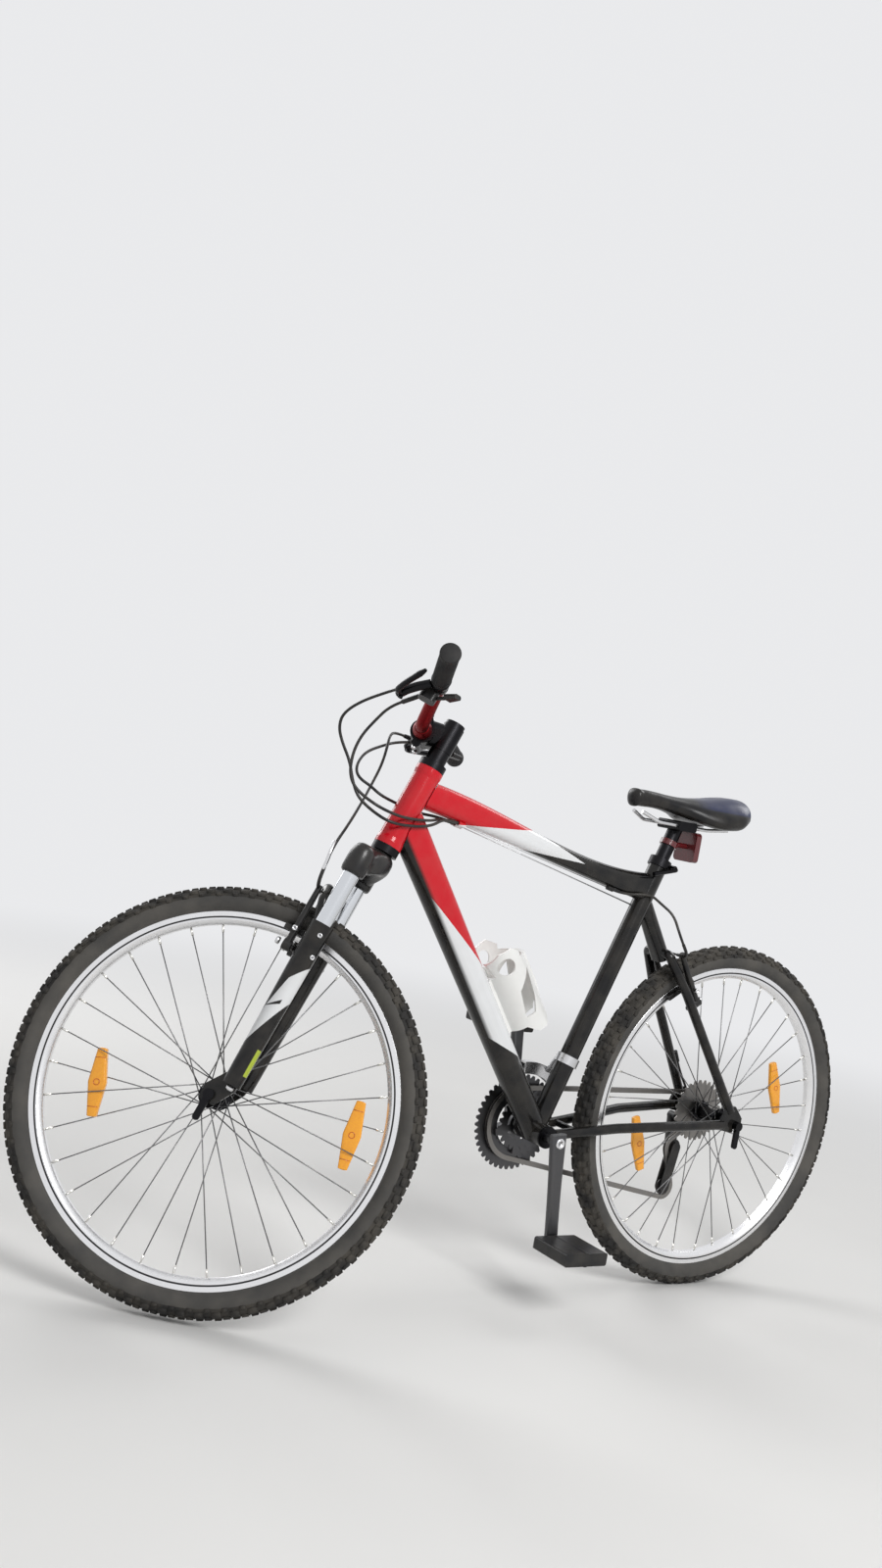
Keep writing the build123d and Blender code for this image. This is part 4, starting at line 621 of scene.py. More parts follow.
def reflector_marks(centre, axis, ahead, angle, radius, half):
    """A ring of round section round the middle of each face, and a bar across near each end."""
    spoke = outward(axis, ahead, math.radians(angle))
    tangent = np.cross(axis, spoke)
    middle = centre + spoke * radius * MM
    around = np.linspace(0, 2 * math.pi, 8, endpoint=False)
    marks = []
    for face in (1, -1):
        ring = np.stack([MARK_RING + 0.8 * np.cos(around), face * (half - 0.2) + 0.8 * np.sin(around)], -1)
        marks.append(turned_ring(middle, axis, spoke, ring, 24))
        for end in (1, -1):
            place = middle + (tangent * end * MARK_BAR_AT + axis * face * (half - 0.3)) * MM
            reach = spoke * MARK_BAR_HALF * MM
            marks.append(tube(line(place - reach, place + reach), 0.7 * MM, 8))
    return marks


class BICYCLE_OT_reflectors(bpy.types.Operator):
    """Adds the amber reflectors between the spokes, with the marks moulded into them"""
    bl_idname = "bicycle.reflectors"
    bl_label = "Reflectors"

    def execute(self, context):
        finish = Finish("amber_lens", (0.95, 0.40, 0.015), 0.22, coat=0.6)
        inputs = {"Vector": finish.place, "Scale": 420.0}
        cells = finish.node("ShaderNodeTexVoronoi", inputs).outputs["Distance"]
        share = finish.math("MULTIPLY", cells, 0.5)
        finish.colour(finish.blend(share, (1.0, 0.44, 0.015), (0.85, 0.26, 0.01)))
        amber = finish.bump(cells, 0.3, 0.0004).material
        edge = plastic("amber_edge", (0.62, 0.14, 0.005), 0.3, coat=0.4)
        for name, (centre, axis, ahead, body, _, _) in WHEELS.items():
            parts = [reflector_shape(centre, axis, ahead, *row) for row in REFLECTORS[name]]
            piece = mesh_from(f"{name}_amber_lenses", parts, amber, body)
            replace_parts(piece, f"{name}_reflectors")
            parts = [mark for row in REFLECTORS[name] for mark in reflector_marks(centre, axis, ahead, *row)]
            mesh_from(f"{name}_lens_marks", parts, edge, body)
        return {"FINISHED"}


# Saddle
# place along X, half width, top, bottom, fall of the edges below the middle, in mm
SADDLE_ROWS = [(-142.0, 20.0, 5.0, -22.0, 0.0), (-133.0, 44.0, 10.5, -34.0, 6.0),
               (-114.0, 62.0, 12.0, -43.0, 14.0), (-80.0, 69.0, 8.5, -47.0, 20.0),
               (-50.0, 66.0, 3.0, -47.0, 20.0), (-20.0, 54.0, -1.0, -44.0, 15.0),
               (10.0, 39.0, -3.5, -39.0, 8.0), (50.0, 27.0, -4.0, -34.0, 4.0), (80.0, 21.5, -3.0, -33.0, 2.0),
               (110.0, 18.0, -3.5, -34.0, 1.0), (126.0, 12.5, -6.5, -33.0, 0.0),
               (129.5, 6.0, -12.0, -28.0, 0.0)]
SADDLE_GRID = (90, 64)


def saddle_shape():
    """Sections square to X whose half width, top and bottom run smoothly through the rows.

    Across = half width * |cos v| ** 0.75, level = middle + half height * |sin v| ** 0.7, signs kept. The
    under side is drawn in to 0.8 of the width, the edges fall by fall * (across / half width) ** 2, and a
    shallow channel lies along the top's middle.
    """
    rows = np.array(SADDLE_ROWS)
    x = np.interp(np.linspace(0, 1, SADDLE_GRID[0]), np.linspace(0, 1, len(rows)), rows[:, 0])
    width, top, bottom, fall = (smooth_rows(rows[:, 0], rows[:, i], x) for i in (1, 2, 3, 4))
    v = np.linspace(0, 2 * math.pi, SADDLE_GRID[1], endpoint=False)
    across_share, level_share = signed_power(np.cos(v), 0.75), signed_power(np.sin(v), 0.7)
    draw = np.where(level_share < 0, 1 - 0.2 * np.abs(level_share), 1.0)
    y = width[:, None] * across_share * draw
    z = ((top + bottom) / 2)[:, None] + ((top - bottom) / 2)[:, None] * level_share
    z = z - fall[:, None] * (y / width[:, None]) ** 2
    channel = 1.8 * np.exp(-(y / 9.0) ** 2) * np.exp(-((x[:, None] + 20) / 75.0) ** 2)
    z = z - np.where(level_share > 0, channel, 0)
    points = np.stack([np.broadcast_to(x[:, None], y.shape), y, z], -1).reshape(-1, 3) * MM
    return closed_ends(points, *SADDLE_GRID)


def smooth_rows(place, value, x):
    """A cubic through the rows whose slope at each row is the mean slope of its neighbours."""
    slope = np.gradient(value, place)
    index = np.clip(np.searchsorted(place, x, side="right") - 1, 0, len(place) - 2)
    gap = place[index + 1] - place[index]
    t = (x - place[index]) / gap
    return ((2 * t**3 - 3 * t**2 + 1) * value[index] + (t**3 - 2 * t**2 + t) * gap * slope[index]
            + (3 * t**2 - 2 * t**3) * value[index + 1] + (t**3 - t**2) * gap * slope[index + 1])


class BICYCLE_OT_saddle(bpy.types.Operator):
    """Adds the saddle's padded shell with its smooth cover"""
    bl_idname = "bicycle.saddle"
    bl_label = "Saddle"

    def execute(self, context):
        cover, blue = (0.006, 0.006, 0.007), (0.006, 0.012, 0.055)
        finish = Finish("saddle_cover", cover, 0.32, coat=0.1, specular=0.25)
        behind = finish.step(finish.math("MULTIPLY", finish.along((0, 0, 0), AHEAD), -1.0), 0.02, 0.015)
        above = finish.step(finish.along((0, 0, 0), UP), -0.017, 0.002)
        shade = finish.blend(finish.math("MULTIPLY", behind, above), cover, blue)
        finish.worn(shade, DUST, 0.06)
        finish.rough(0.26, 0.42, finish.noise(40.0))
        finish.bump(finish.noise(1400.0, 3.0), 0.12, 0.0003)
        piece = mesh_object("saddle_cushion", *saddle_shape(), (finish.material,))
        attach(piece, "frame")
        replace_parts(piece, "saddle")
        return {"FINISHED"}


# Housings
# Points in mm in the steering frame, then in the model's frame, as in the solids
HOUSING_DIAMETER = 0.005
LEFT_BRAKE = [(88.8, 130.2, 682.2), (103.4, 112.1, 676.3), (139.0, 88.0, 648.0), (157.0, 77.0, 620.0),
              (154.0, 69.0, 599.0), (140.0, 60.0, 582.0), (112.0, 55.0, 559.0), (96.0, 50.0, 537.0),
              (78.0, 45.0, 519.0), (62.0, 42.0, 512.0), (40.0, 40.0, 507.0)]
LEFT_BRAKE_FRAME = [(648.0, 27.0, -133.0), (617.0, 29.0, -136.0), (564.0, 27.0, -131.0)]
LEFT_SHIFT = [(74.6, 114.3, 671.9), (91.0, 102.2, 659.3), (102.0, 94.0, 630.0), (109.0, 92.0, 601.0),
              (109.0, 90.0, 577.0), (105.0, 87.0, 557.0), (98.0, 82.0, 539.0), (86.0, 76.0, 525.0),
              (67.0, 68.0, 518.0)]
LEFT_SHIFT_FRAME = [(674.0, 28.0, -111.0), (646.0, 29.0, -119.0), (614.0, 29.0, -124.0),
                    (566.0, 25.0, -122.0)]
RIGHT_SHIFT = [(74.6, -114.3, 671.9), (91.0, -102.2, 659.3), (102.0, -70.0, 636.0), (115.0, -35.0, 606.0),
               (114.0, -10.0, 578.0), (106.0, 0.0, 560.0), (93.0, 2.0, 552.0), (74.0, -4.0, 551.0)]
RIGHT_SHIFT_FRAME = [(632.0, -38.0, -94.0), (606.0, -38.0, -102.0), (560.0, -25.0, -114.0)]
RIGHT_BRAKE = [(88.8, -130.2, 682.2), (103.4, -112.1, 676.3), (103.0, -80.0, 660.0), (93.0, -64.0, 634.0),
               (84.0, -52.0, 600.0), (80.0, -38.0, 560.0), (73.0, -4.0, 525.0), (66.0, 36.0, 475.0),
               (65.0, 66.0, 418.0), (61.0, 63.0, 388.0)]
# left of the middle, below the top tube's middle line
STOPS = {"rear_brake": (11.0, 22.0), "front_derailleur": (1.5, 24.5), "rear_derailleur": (-8.0, 23.0)}
REAR_STOP = (10.0, 22.0)
STOP_LENGTH = 13.0
# shares of the top tube's length from its front end
FRONT_STOPS_SHARE = 0.165
REAR_STOP_SHARE = 0.84
# below the top tube's middle line and short of its rear end, where two of the inner wires end
WIRES_BELOW, WIRES_SHORT = 33.0, 6.0
WIRE_RADIUS = 0.8
TOP_RUN = unit(TOP_REAR - TOP_FRONT)
TOP_DOWN = np.cross(TOP_RUN, LEFT)


def stop_point(left, below, along=0.0, share=FRONT_STOPS_SHARE):
    """The mouth of a stop under the top tube, or a point that many mm along from it."""
    start = TOP_FRONT + (TOP_REAR - TOP_FRONT) * share
    return start + (TOP_RUN * along + TOP_DOWN * below + LEFT * left) * MM


def smooth_route(points):
    """The points of the NURBS spline that the route's points control, as Blender gives them."""
    curve = bpy.data.curves.new("route", "CURVE")
    curve.dimensions = "3D"
    spline = curve.splines.new("NURBS")
    spline.points.add(len(points) - 1)
    spline.points.foreach_set("co", np.hstack([np.asarray(points), np.ones((len(points), 1))]).ravel())
    spline.order_u = 3
    spline.use_endpoint_u = True
    spline.resolution_u = 10
    holder = bpy.data.objects.new("route", curve)
    bpy.context.scene.collection.objects.link(holder)
    mesh = bpy.data.meshes.new_from_object(holder)
    path = np.empty(len(mesh.vertices) * 3)
    mesh.vertices.foreach_get("co", path)
    bpy.data.objects.remove(holder)
    bpy.data.curves.remove(curve)
    bpy.data.meshes.remove(mesh)
    return path.reshape(-1, 3)


def housing(name, node, points, material, body=None):
    """A housing along its route, riding on a body or left unattached where it lies."""
    path = smooth_route(points)
    piece = mesh_object(name, *tube(path, HOUSING_DIAMETER / 2, 12), (material,))
    if body:
        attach(piece, body)
    else:
        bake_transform(piece)
    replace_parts(piece, node)


def route(steered, framed=(), stop=None):
    """A housing's points in metres: in the steering frame, in the model's, then straight into its stop."""
    points = [steer(*place) for place in steered] + [np.array(place) * MM for place in framed]
    if stop:
        points += [stop_point(*STOPS[stop], -28.0), stop_point(*STOPS[stop])]
    return points


SEAT_STAY_TOP = CRANK_AXIS + SEAT_UP * STAYS_ON_SEAT * MM
STAY_RUN = unit((SEAT_STAY_TOP - REAR_AXLE) * np.array([1, 0, 1]))
STAY_BACK = np.cross(STAY_RUN, LEFT)
REAR_LOOP = [(62.0, 25.0, -188.0), (34.0, 28.0, -203.0), (12.0, 43.0, -219.0)]
MECH_LOOP = [(-8.0, -76.0, 28.0), (-33.0, -82.0, -6.0), (-38.0, -81.0, -34.0), (-27.0, -79.0, -56.0),
             (-5.0, -77.0, -62.0)]
# on the seat stays: the brake loop's guide from low to high, and the derailleur loop's stop from low to high
GUIDE = [(358.0, 60.0, 17.0), (388.0, 63.0, 13.0)]
MECH_STOP = [(96.0, -64.0, 12.8), (120.0, -61.1, 12.8)]


def stay(along, left, behind):
    """A point in mm up the seat stays' line from the rear axle, to the left, and behind it."""
    return REAR_AXLE + (STAY_RUN * along + LEFT * left + STAY_BACK * behind) * MM


# The last two are shares of the way from the stop to the housing's third point
CROSSING = [
    ("rear_brake_housing", "rear_brake_cable", LEFT_BRAKE, LEFT_BRAKE_FRAME, "rear_brake", 0.25, 1.0),
    ("front_mech_housing", "front_derailleur_cable", LEFT_SHIFT, LEFT_SHIFT_FRAME, "front_derailleur",
     0.38, 0.8),
    ("rear_mech_housing", "rear_derailleur_cable", RIGHT_SHIFT, RIGHT_SHIFT_FRAME, "rear_derailleur",
     0.25, 0.8),
]


class BICYCLE_OT_housings(bpy.types.Operator):
    """Adds the cable housings, and the bare inner wires between their stops"""
    bl_idname = "bicycle.housings"
    bl_label = "Cable housings"

    def execute(self, context):
        sheath = plastic("housing_sheath", (0.012, 0.012, 0.013), 0.35, 900.0, 0.04, 0.1)
        for name, node, steered, framed, stop, first, last in CROSSING:
            points = route(steered, framed, stop)
            housing(name, node, points, sheath)
        housing("front_brake_housing", "front_brake_cable", route(RIGHT_BRAKE), sheath, "steering")
        rear_stop = stop_point(*REAR_STOP, 0.0, REAR_STOP_SHARE)
        guide_low, guide_end = (stay(*place) for place in GUIDE)
        points = [rear_stop, rear_stop + TOP_RUN * 30.0 * MM] + route((), REAR_LOOP)
        points += [guide_end + (guide_end - guide_low) * 0.8, guide_end]
        housing("rear_brake_housing_loop", "rear_brake_loop", points, sheath, "frame")
        start, above = (stay(*place) for place in MECH_STOP)
        points = [start, start * 2 - above]
        points += [REAR_AXLE + np.array(place) * MM for place in MECH_LOOP]
        housing("rear_mech_housing_loop", "rear_derailleur_loop", points, sheath, "frame")
        wire = metal("inner_wire", (0.55, 0.55, 0.56), 0.35)
        parts = []
        for name, (left, below) in STOPS.items():
            if name == "rear_brake":
                end = rear_stop - TOP_RUN * STOP_LENGTH * MM
            else:
                end = TOP_REAR + (TOP_DOWN * WIRES_BELOW + LEFT * left - TOP_RUN * WIRES_SHORT) * MM
            parts.append(tube(line(stop_point(left, below, STOP_LENGTH), end), WIRE_RADIUS * MM, 8))
        mesh_from("inner_wires", parts, wire, "frame")
        return {"FINISHED"}


# Fittings
def bolt(centre, axis, radius, height):
    """A domed bolt head with a round socket: a profile of (radius, height) in mm turned round the axis."""
    axis = unit(np.asarray(axis, float))
    ahead = unit(np.cross(axis, UP if abs(axis @ UP) < 0.9 else AHEAD))
    profile = [(0.0, -0.3), (1.0, -0.3), (1.0, 0.6), (0.86, 0.92), (0.55, 1.0), (0.5, 0.55), (0.0, 0.5)]
    scaled = [(max(r, 0.002) * radius, h * height) for r, h in profile]
    return turned_ring(np.asarray(centre), axis, ahead, scaled, 20)


HEAD_LENGTH = 145.5
CLAMP_OVER_HEAD = 48.0
STEM_CLAMP_LEVEL = AXLE_TO_HEAD / MM + HEAD_LENGTH + CLAMP_OVER_HEAD
CAP_OVER_CLAMP = 41.0
CRANK_BOLT_OUT = 76.0
# bolt heads on the steering's left half: place and facing in the steering frame, radius and height
STEERING_BOLTS = [
    ((40.0, 15.0, STEM_CLAMP_LEVEL + 31.0), (0.0, 0.0, 1.0), 4.2, 4.0),
    ((40.0, 15.0, STEM_CLAMP_LEVEL - 29.0), (0.0, 0.0, -1.0), 4.2, 4.0),
    ((70.0, 40.0, 255.0), (1.0, 0.0, 0.0), 6.0, 5.0),
    ((55.0, 52.5, 283.5), (0.0, 1.0, 0.0), 4.5, 4.0),
    ((18.0, 62.5, 25.0), (0.0, 0.0, -1.0), 6.5, 6.0),
    ((10.0, 79.5, 289.0), (0.0, 1.0, 0.0), 4.2, 3.5),
    ((5.0, 75.5, 254.0), (-0.6, 1.0, 0.0), 4.2, 3.5),
]
NOODLE = [(68.0, 60.0, 432.0), (65.0, 66.0, 418.0), (62.0, 64.0, 400.0), (61.0, 63.0, 384.0)]
NOODLE_RADIUS = 3.1
# distance along the bar from its end, and the grip's radius there
GRIP_ROWS = [(-3.0, 14.5), (-2.0, 16.4), (0.0, 16.6), (3.0, 15.3), (110.0, 15.3), (113.0, 16.4),
             (115.0, 16.0)]
RIB_PITCH = 4.0
RIB_HEIGHT = 0.35


def bar_end(side):
    """The handlebar's end on one side, and the direction inboard along its straight part."""
    end = steer(15.0, side * 285.0, STEM_CLAMP_LEVEL + 58.0)
    return end, unit(steer(34.0, side * 114.0, STEM_CLAMP_LEVEL + 44.0) - end)


class BICYCLE_OT_fittings(bpy.types.Operator):
    """Adds bolt heads, the front brake's noodle and the grips with their ribs"""
    bl_idname = "bicycle.fittings"
    bl_label = "Bolts and grips"

    def execute(self, context):
        steel = metal("bolt_steel", (0.72, 0.72, 0.73), 0.22)
        heads = [bolt(steer(0, 0, STEM_CLAMP_LEVEL + CAP_OVER_CLAMP), STEER_UP, 4.5, 2.5)]
        for (forward, left, up), facing, radius, height in STEERING_BOLTS:
            for side in (1, -1):
                way = STEER_AHEAD * facing[0] + FRONT_LEFT * side * facing[1] + STEER_UP * facing[2]
                heads.append(bolt(steer(forward, side * left, up), way, radius, height))
        mesh_from("cockpit_bolts", heads, steel, "steering")
        heads = [bolt(stay(255.0, side * 40, 27), STAY_BACK, 6.0, 5.0) for side in (1, -1)]
        heads += [bolt(stay(283.5, side * 52.5, 19), LEFT * side, 4.5, 4.0) for side in (1, -1)]
        mesh_from("brake_bolts", heads, steel, "frame")
        heads = [bolt(CRANK_AXIS + LEFT * side * CRANK_BOLT_OUT * MM, LEFT * side, 9.5, 3.0)
                 for side in (1, -1)]
        mesh_from("crank_bolts", heads, steel, "crankset")
        parts = [tube(smooth_route(route(NOODLE)), NOODLE_RADIUS * MM, 12)]
        mesh_from("front_brake_noodle", parts, steel, "steering")
        rubber = plastic("grip_rubber", (0.009, 0.009, 0.010), 0.65, 900.0, 0.2, 0.03)
        for side, name in ((1, "left"), (-1, "right")):
            end, inboard = bar_end(side)
            along = np.linspace(-3.0, 115.0, 237)
            radius = np.interp(along, *np.array(GRIP_ROWS).T)
            ribs = RIB_HEIGHT * np.cos(along * 2 * math.pi / RIB_PITCH) * ((along > 8) & (along < 106))
            parts = [tube(end + inboard * along[:, None] * MM, (radius + ribs) * MM, 40)]
            piece = mesh_from(f"{name}_ribbed_grip", parts, rubber, "steering")
            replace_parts(piece, f"{name}_grip")
        return {"FINISHED"}


# Points in mm in the steering frame on the left side, each with the radius there
LEVER_BODY = [(40.0, 165.0, 706.0, 7.0), (56.0, 164.0, 693.0, 7.6), (70.0, 158.0, 681.0, 7.4),
              (78.0, 150.0, 674.0, 8.0), (82.0, 147.0, 670.0, 4.5)]
LEVER_BLADE = [(74.0, 154.0, 674.0, 4.6), (82.0, 162.0, 670.0, 5.4), (75.0, 184.0, 677.0, 5.2),
               (61.0, 208.0, 688.0, 5.0), (48.0, 228.0, 699.0, 5.4), (45.0, 233.0, 701.0, 3.0)]
LEVER_BARREL = [(70.5, 152.8, 689.6, 4.4), (84.0, 136.1, 684.1, 4.2), (88.8, 130.2, 682.2, 3.6)]
# radius, distance along the bar from the clamp's middle
LEVER_CLAMP = [(11.4, -6.0), (14.8, -6.0), (15.3, -5.4), (15.3, 5.4), (14.8, 6.0), (11.4, 6.0)]
LEVER_FROM_END = 125.0


def swept(rows, side):
    """A round bar on the spline through a table's points, its radius running evenly from row to row."""
    rows = np.array(rows)
    path = smooth_route([steer(ahead, side * left, up) for ahead, left, up, _ in rows])
    radius = np.interp(np.linspace(0, 1, len(path)), np.linspace(0, 1, len(rows)), rows[:, 3])
    return tube(path, radius * MM, 20)


class BICYCLE_OT_levers(bpy.types.Operator):
    """Adds the brake levers: a clamp, a body, a barrel for the housing and a curved blade"""
    bl_idname = "bicycle.levers"
    bl_label = "Brake levers"

    def execute(self, context):
        black = metal("lever_black", (0.018, 0.018, 0.020), 0.33, 0.03)
        for side, name in ((1, "left"), (-1, "right")):
            end, inboard = bar_end(side)
            ahead = unit(STEER_AHEAD - inboard * (STEER_AHEAD @ inboard))
            parts = [turned_ring(end + inboard * LEVER_FROM_END * MM, inboard, ahead, LEVER_CLAMP, 40)]
            parts += [swept(rows, side) for rows in (LEVER_BODY, LEVER_BLADE, LEVER_BARREL)]
            parts.append(bolt(steer(74.0, side * 154.0, 667.5), -STEER_UP, 4.0, 3.0))
            piece = mesh_from(f"{name}_lever_blade", parts, black, "steering")
            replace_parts(piece, f"{name}_brake_lever")
        return {"FINISHED"}


# steps across the bicycle, then forward, up from the crown's top, half depth and half height, in mm
CROWN_ROWS = [(-66.0, 18.0, -42.0, 17.0, 18.0), (-45.0, 13.0, -34.0, 19.0, 20.0),
              (-24.0, 5.0, -23.0, 23.0, 21.0), (0.0, 1.0, -19.0, 25.0, 19.5), (24.0, 5.0, -23.0, 23.0, 21.0),
              (45.0, 13.0, -34.0, 19.0, 20.0), (66.0, 18.0, -42.0, 17.0, 18.0)]
# radius and distance down from the crown's top of the cap over each stanchion
CROWN_CAP = [(0.2, -10.0), (9.0, -10.6), (14.5, -13.5), (18.0, -20.0), (20.2, -30.0), (20.6, -40.0),
             (20.4, -56.0), (19.2, -61.5), (16.8, -63.0), (14.4, -61.0), (14.2, -30.0), (0.2, -29.0)]
CROWN_UNDER_HEAD = 13.1
CROWN_BOSS = 16.0
CROWN_GRID = (49, 40)


class BICYCLE_OT_crown(bpy.types.Operator):
    """Adds the fork's rounded crown with a cap over each stanchion"""
    bl_idname = "bicycle.crown"
    bl_label = "Fork crown"

    def execute(self, context):
        top = AXLE_TO_HEAD / MM - CROWN_UNDER_HEAD
        rows = np.array(CROWN_ROWS)
        place = np.linspace(rows[-1, 0], rows[0, 0], CROWN_GRID[0])
        forward, up, deep, high = (smooth_rows(rows[:, 0], rows[:, i], place)[:, None]
                                   for i in range(1, 5))
        v = np.linspace(0, 2 * math.pi, CROWN_GRID[1], endpoint=False)
        ahead = forward + deep * signed_power(np.cos(v), 0.7)
        level = top + up + high * signed_power(np.sin(v), 0.7)
        points = (STEER_FOOT + (STEER_AHEAD * ahead[..., None] + STEER_UP * level[..., None]
                                + FRONT_LEFT * place[:, None, None]) * MM).reshape(-1, 3)
        parts = [closed_ends(points, *CROWN_GRID)]
        for side in (1, -1):
            foot = steer(18.0, side * 62.5, 0)
            profile = [(radius, top + down) for radius, down in CROWN_CAP]
            parts.append(turned_ring(foot, STEER_UP, STEER_AHEAD, profile[::-1], 40))
        parts.append(tube(line(steer(0, 0, top - 8), steer(0, 0, top + 2)), CROWN_BOSS * MM, 40))
        satin = plastic("crown_black", (0.006, 0.006, 0.007), 0.34, 500.0, 0.06, 0.05, 0.2)
        piece = mesh_from("fork_crown_moulded", parts, satin, "steering")
        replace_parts(piece, "fork_crown")
        return {"FINISHED"}


# Finishes of the solids that keep their shape
def repaint(material, *nodes):
    """Gives CAD nodes their finish; their meshes are left alone."""
    for name in nodes:
        piece = frame["nodes"][name]
        piece.data.materials.clear()
        piece.data.materials.append(material)


class BICYCLE_OT_paint(bpy.types.Operator):
    """Paints the frame, the fork and every other solid that keeps its shape"""
    bl_idname = "bicycle.paint"
    bl_label = "Paint and finishes"

    def execute(self, context):
        repaint(gloss_paint("red_paint", RED), "head_tube")
        repaint(swoosh_paint("top_tube_paint", TOP_FRONT, TOP_REAR - TOP_FRONT, (178.0, 3.66),
                             [(372.0, -6.0), (372.0, 7.0)], None), "top_tube")
        # the down tube's -17.0 gives the black strip of painted shade along its underside
        repaint(swoosh_paint("down_tube_paint_and_shade", DOWN_FRONT, CRANK_AXIS - DOWN_FRONT, (216.0, 3.9),
                             [(458.0, 1.7)], -17.0), "down_tube")
        repaint(gloss_paint("black_paint", BLACK), "seat_tube", "seat_stays", "chain_stays",
                "bottom_bracket_shell", "dropouts")
        repaint(fork_paint(), "fork_lowers")
        repaint(metal("black_anodised", (0.018, 0.018, 0.020), 0.33, 0.03), "headset", "headset_spacers",
                "stem", "seat_post", "seat_clamp", "bottom_bracket", "front_hub", "rear_hub", "front_skewer",
                "rear_skewer")
        repaint(plastic("black_satin", (0.008, 0.008, 0.009), 0.42, dust=0.06, coat=0.1), "front_brake",
                "rear_brake", "rear_derailleur", "left_shifter", "right_shifter", "left_pedal", "right_pedal")
        repaint(metal("red_anodised", (0.22, 0.008, 0.012), 0.38), "handlebar")
        repaint(metal("stanchion_chrome", (0.74, 0.76, 0.79), 0.16, 0.04), "stanchions")
        repaint(metal("crank_alloy", (0.10, 0.10, 0.105), 0.35), "crankset")
        repaint(metal("bright_steel", (0.66, 0.66, 0.67), 0.25), "front_derailleur", "saddle_rails")
        repaint(metal("chain_steel", (0.26, 0.25, 0.24), 0.4, 0.3), "chain", "cassette")
        repaint(plastic("white_plastic", (0.86, 0.86, 0.84), 0.3, 300.0, 0.05, 0.06, 0.3), "bottle_cage")
        red = Finish("red_lens", (0.10, 0.006, 0.008), 0.25, coat=0.6)
        cells = red.node("ShaderNodeTexVoronoi", {"Vector": red.place, "Scale": 280.0}).outputs["Distance"]
        repaint(red.bump(cells, 0.4, 0.0006).material, "rear_reflector")
        return {"FINISHED"}


# Stage
# The camera's place and its directions in the model's frame, from the fit to both wheels
CAMERA_PLACE = np.array([1898.725, 2016.841, -56.814]) * MM
CAMERA_VIEW = np.array([-0.5583985, -0.8295722, -0.00103923])
CAMERA_DOWN = np.array([-0.14912209, 0.10160867, -0.9835844])
FOCAL_LENGTH = 60.0
BACKDROP = (0.82, 0.825, 0.84)
# Distances in metres from the bicycle over which the floor fades into the backdrop
FADE = (1.3, 4.5)
FLOOR_HALF = 40.0
FLOOR_STEPS = 41
# name: place in metres, size, share of the key light's power
LAMPS = {
    "key": ((0.5, 3.0, 1.7), 1.4, 1.0),
    "right": ((0.9, -3.0, 1.5), 2.0, 0.6),
    "back": ((-3.0, -0.4, 2.4), 1.6, 0.4),
}
LAMP_AIM = Vector((0.3, 0.0, -0.5))


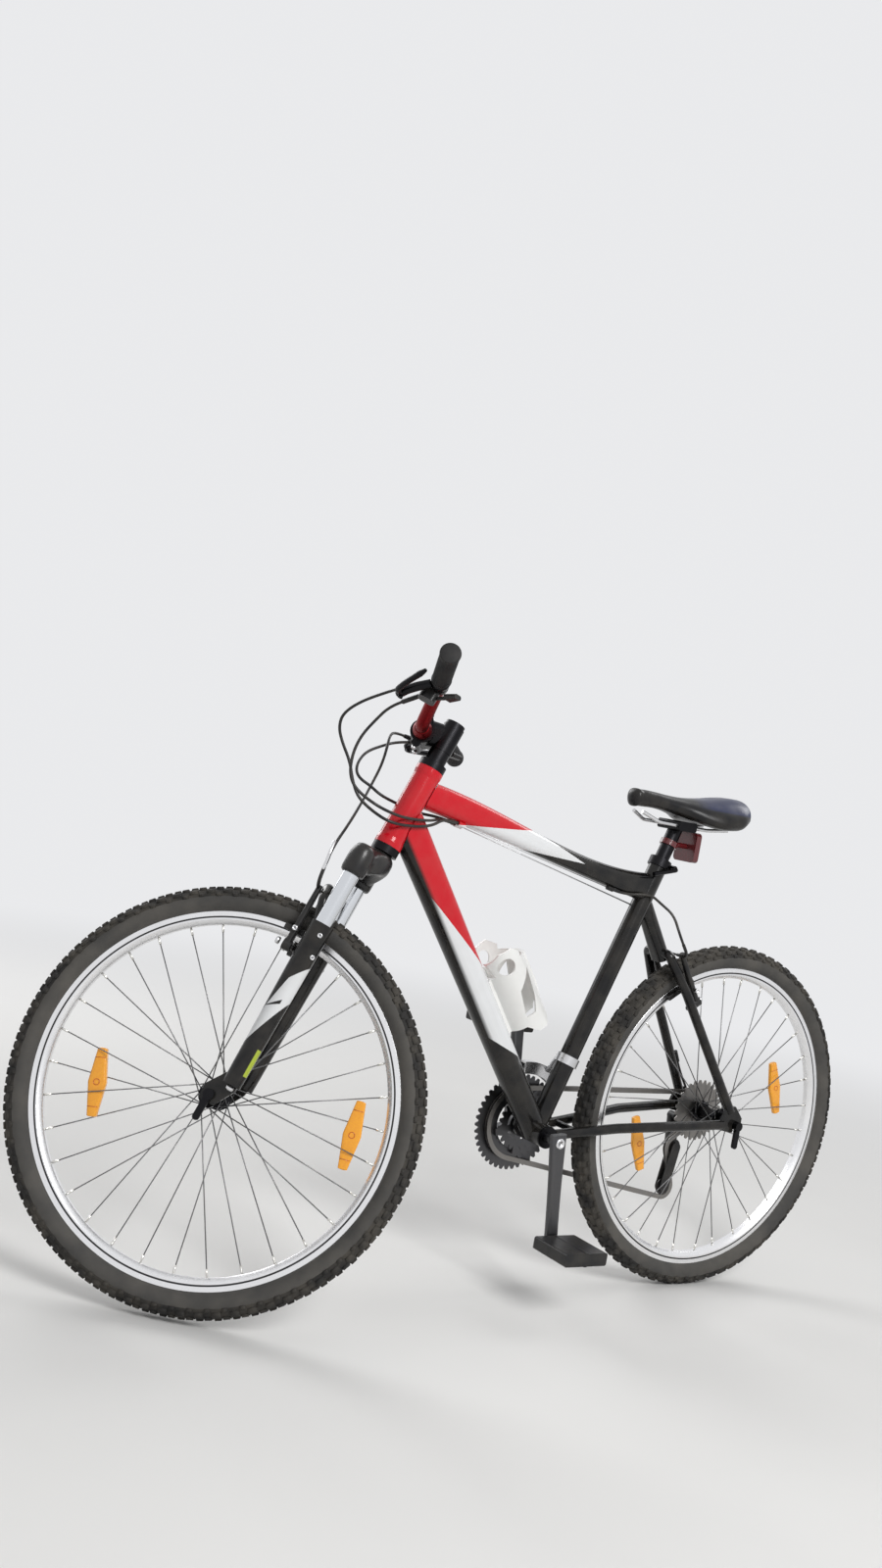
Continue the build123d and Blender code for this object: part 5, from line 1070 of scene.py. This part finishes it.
class BICYCLE_OT_stage(bpy.types.Operator):
    """Adds the floor, the lamps and the camera at the photograph's viewing angle"""
    bl_idname = "bicycle.stage"
    bl_label = "Floor, light and camera"

    def seen(self, tree):
        """1 for the camera's rays and for those that a shiny or clear surface sends on."""
        light = tree.nodes.new("ShaderNodeLightPath")
        total = light.outputs["Is Camera Ray"]
        for name in ("Is Glossy Ray", "Is Transmission Ray"):
            either = tree.nodes.new("ShaderNodeMath")
            either.operation = "MAXIMUM"
            tree.links.new(total, either.inputs[0])
            tree.links.new(light.outputs[name], either.inputs[1])
            total = either.outputs[0]
        return total

    def fade(self, finish):
        """Turns the floor into the backdrop's colour with distance, without more light on the bicycle."""
        tree = finish.tree
        inputs = {0: finish.place, 1: (0.3, 0.0, -0.9)}
        away = finish.node("ShaderNodeVectorMath", inputs, operation="DISTANCE").outputs["Value"]
        inputs = {"Value": away, "From Min": FADE[0], "From Max": FADE[1]}
        share = finish.node("ShaderNodeMapRange", inputs, interpolation_type="SMOOTHSTEP").outputs[0]
        share = finish.math("MULTIPLY", share, self.seen(tree))
        plain = finish.node("ShaderNodeEmission", {"Color": (*BACKDROP, 1), "Strength": 1.0})
        inputs = {0: share, 1: finish.shader.outputs[0], 2: plain.outputs[0]}
        mix = finish.node("ShaderNodeMixShader", inputs)
        tree.links.new(mix.outputs[0], tree.nodes["Material Output"].inputs["Surface"])

    def execute(self, context):
        settings = context.scene.bicycle_stage
        scene = context.scene
        scene.view_settings.view_transform = "Standard"
        level = float(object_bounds()[0][2])
        steps = np.linspace(-FLOOR_HALF, FLOOR_HALF, FLOOR_STEPS)
        x, y = np.meshgrid(steps, steps, indexing="ij")
        points = np.stack([x, y, np.full_like(x, level)], -1).reshape(-1, 3)
        finish = Finish("pale_floor", settings.floor_colour, 0.85, specular=0.2)
        finish.worn(settings.floor_colour, tuple(0.97 * c for c in settings.floor_colour), 0.5, 3.0)
        self.fade(finish)
        faces = grid_faces(FLOOR_STEPS, FLOOR_STEPS, wrap_columns=False)
        mesh_object("floor", points, faces, (finish.material,))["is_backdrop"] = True
        world = bpy.data.worlds.new("pale_sky")
        scene.world = world
        world.use_nodes = True
        tree = world.node_tree
        strength = tree.nodes.new("ShaderNodeMapRange")
        tree.links.new(self.seen(tree), strength.inputs["Value"])
        strength.inputs["To Min"].default_value = settings.fill
        strength.inputs["To Max"].default_value = 1.0
        background = tree.nodes["Background"]
        background.inputs["Color"].default_value = (*BACKDROP, 1)
        tree.links.new(strength.outputs[0], background.inputs["Strength"])
        for name, (place, size, share) in LAMPS.items():
            lamp = bpy.data.lights.new(name, "AREA")
            lamp.size, lamp.energy = size, settings.key_power * share
            holder = bpy.data.objects.new(name, lamp)
            turn = (LAMP_AIM - Vector(place)).to_track_quat("-Z", "Y").to_matrix().to_4x4()
            holder.matrix_world = Matrix.Translation(place) @ turn
            scene.collection.objects.link(holder)
        camera = bpy.data.cameras.new("camera")
        camera.sensor_fit = "HORIZONTAL"
        camera.sensor_width, camera.lens = 36.0, FOCAL_LENGTH
        holder = bpy.data.objects.new("camera", camera)
        right = np.cross(CAMERA_DOWN, CAMERA_VIEW)
        columns = np.stack([right, -CAMERA_DOWN, -CAMERA_VIEW], 1)
        turn = Matrix(columns.tolist()).to_4x4()
        holder.matrix_world = Matrix.Translation(CAMERA_PLACE) @ turn
        scene.collection.objects.link(holder)
        scene.camera = holder
        return {"FINISHED"}


class BICYCLE_PT_panel(bpy.types.Panel):
    """Lists the pieces and their settings"""
    bl_idname = "BICYCLE_PT_panel"
    bl_label = "Bicycle"
    bl_space_type = "VIEW_3D"
    bl_region_type = "UI"
    bl_category = "Bicycle"

    def draw(self, context):
        for group in (context.scene.bicycle_tyres, context.scene.bicycle_wheels, context.scene.bicycle_stage):
            box = self.layout.box()
            for name in group.__annotations__:
                box.prop(group, name)
        for operator in OPERATORS:
            self.layout.operator(operator.bl_idname)


OPERATORS = (BICYCLE_OT_paint, BICYCLE_OT_crown, BICYCLE_OT_tyres, BICYCLE_OT_wheels, BICYCLE_OT_reflectors,
             BICYCLE_OT_saddle, BICYCLE_OT_housings, BICYCLE_OT_fittings, BICYCLE_OT_levers, BICYCLE_OT_stage)
CLASSES = (TyreSettings, WheelSettings, StageSettings, *OPERATORS, BICYCLE_PT_panel)


def register():
    for item in CLASSES:
        bpy.utils.register_class(item)
    bpy.types.Scene.bicycle_tyres = PointerProperty(type=TyreSettings)
    bpy.types.Scene.bicycle_wheels = PointerProperty(type=WheelSettings)
    bpy.types.Scene.bicycle_stage = PointerProperty(type=StageSettings)


def unregister():
    del bpy.types.Scene.bicycle_stage
    del bpy.types.Scene.bicycle_wheels
    del bpy.types.Scene.bicycle_tyres
    for item in reversed(CLASSES):
        bpy.utils.unregister_class(item)


def main():
    register()
    for operator in OPERATORS:
        category, name = operator.bl_idname.split(".")
        getattr(getattr(bpy.ops, category), name)()


if __name__ == "__main__":
    main()
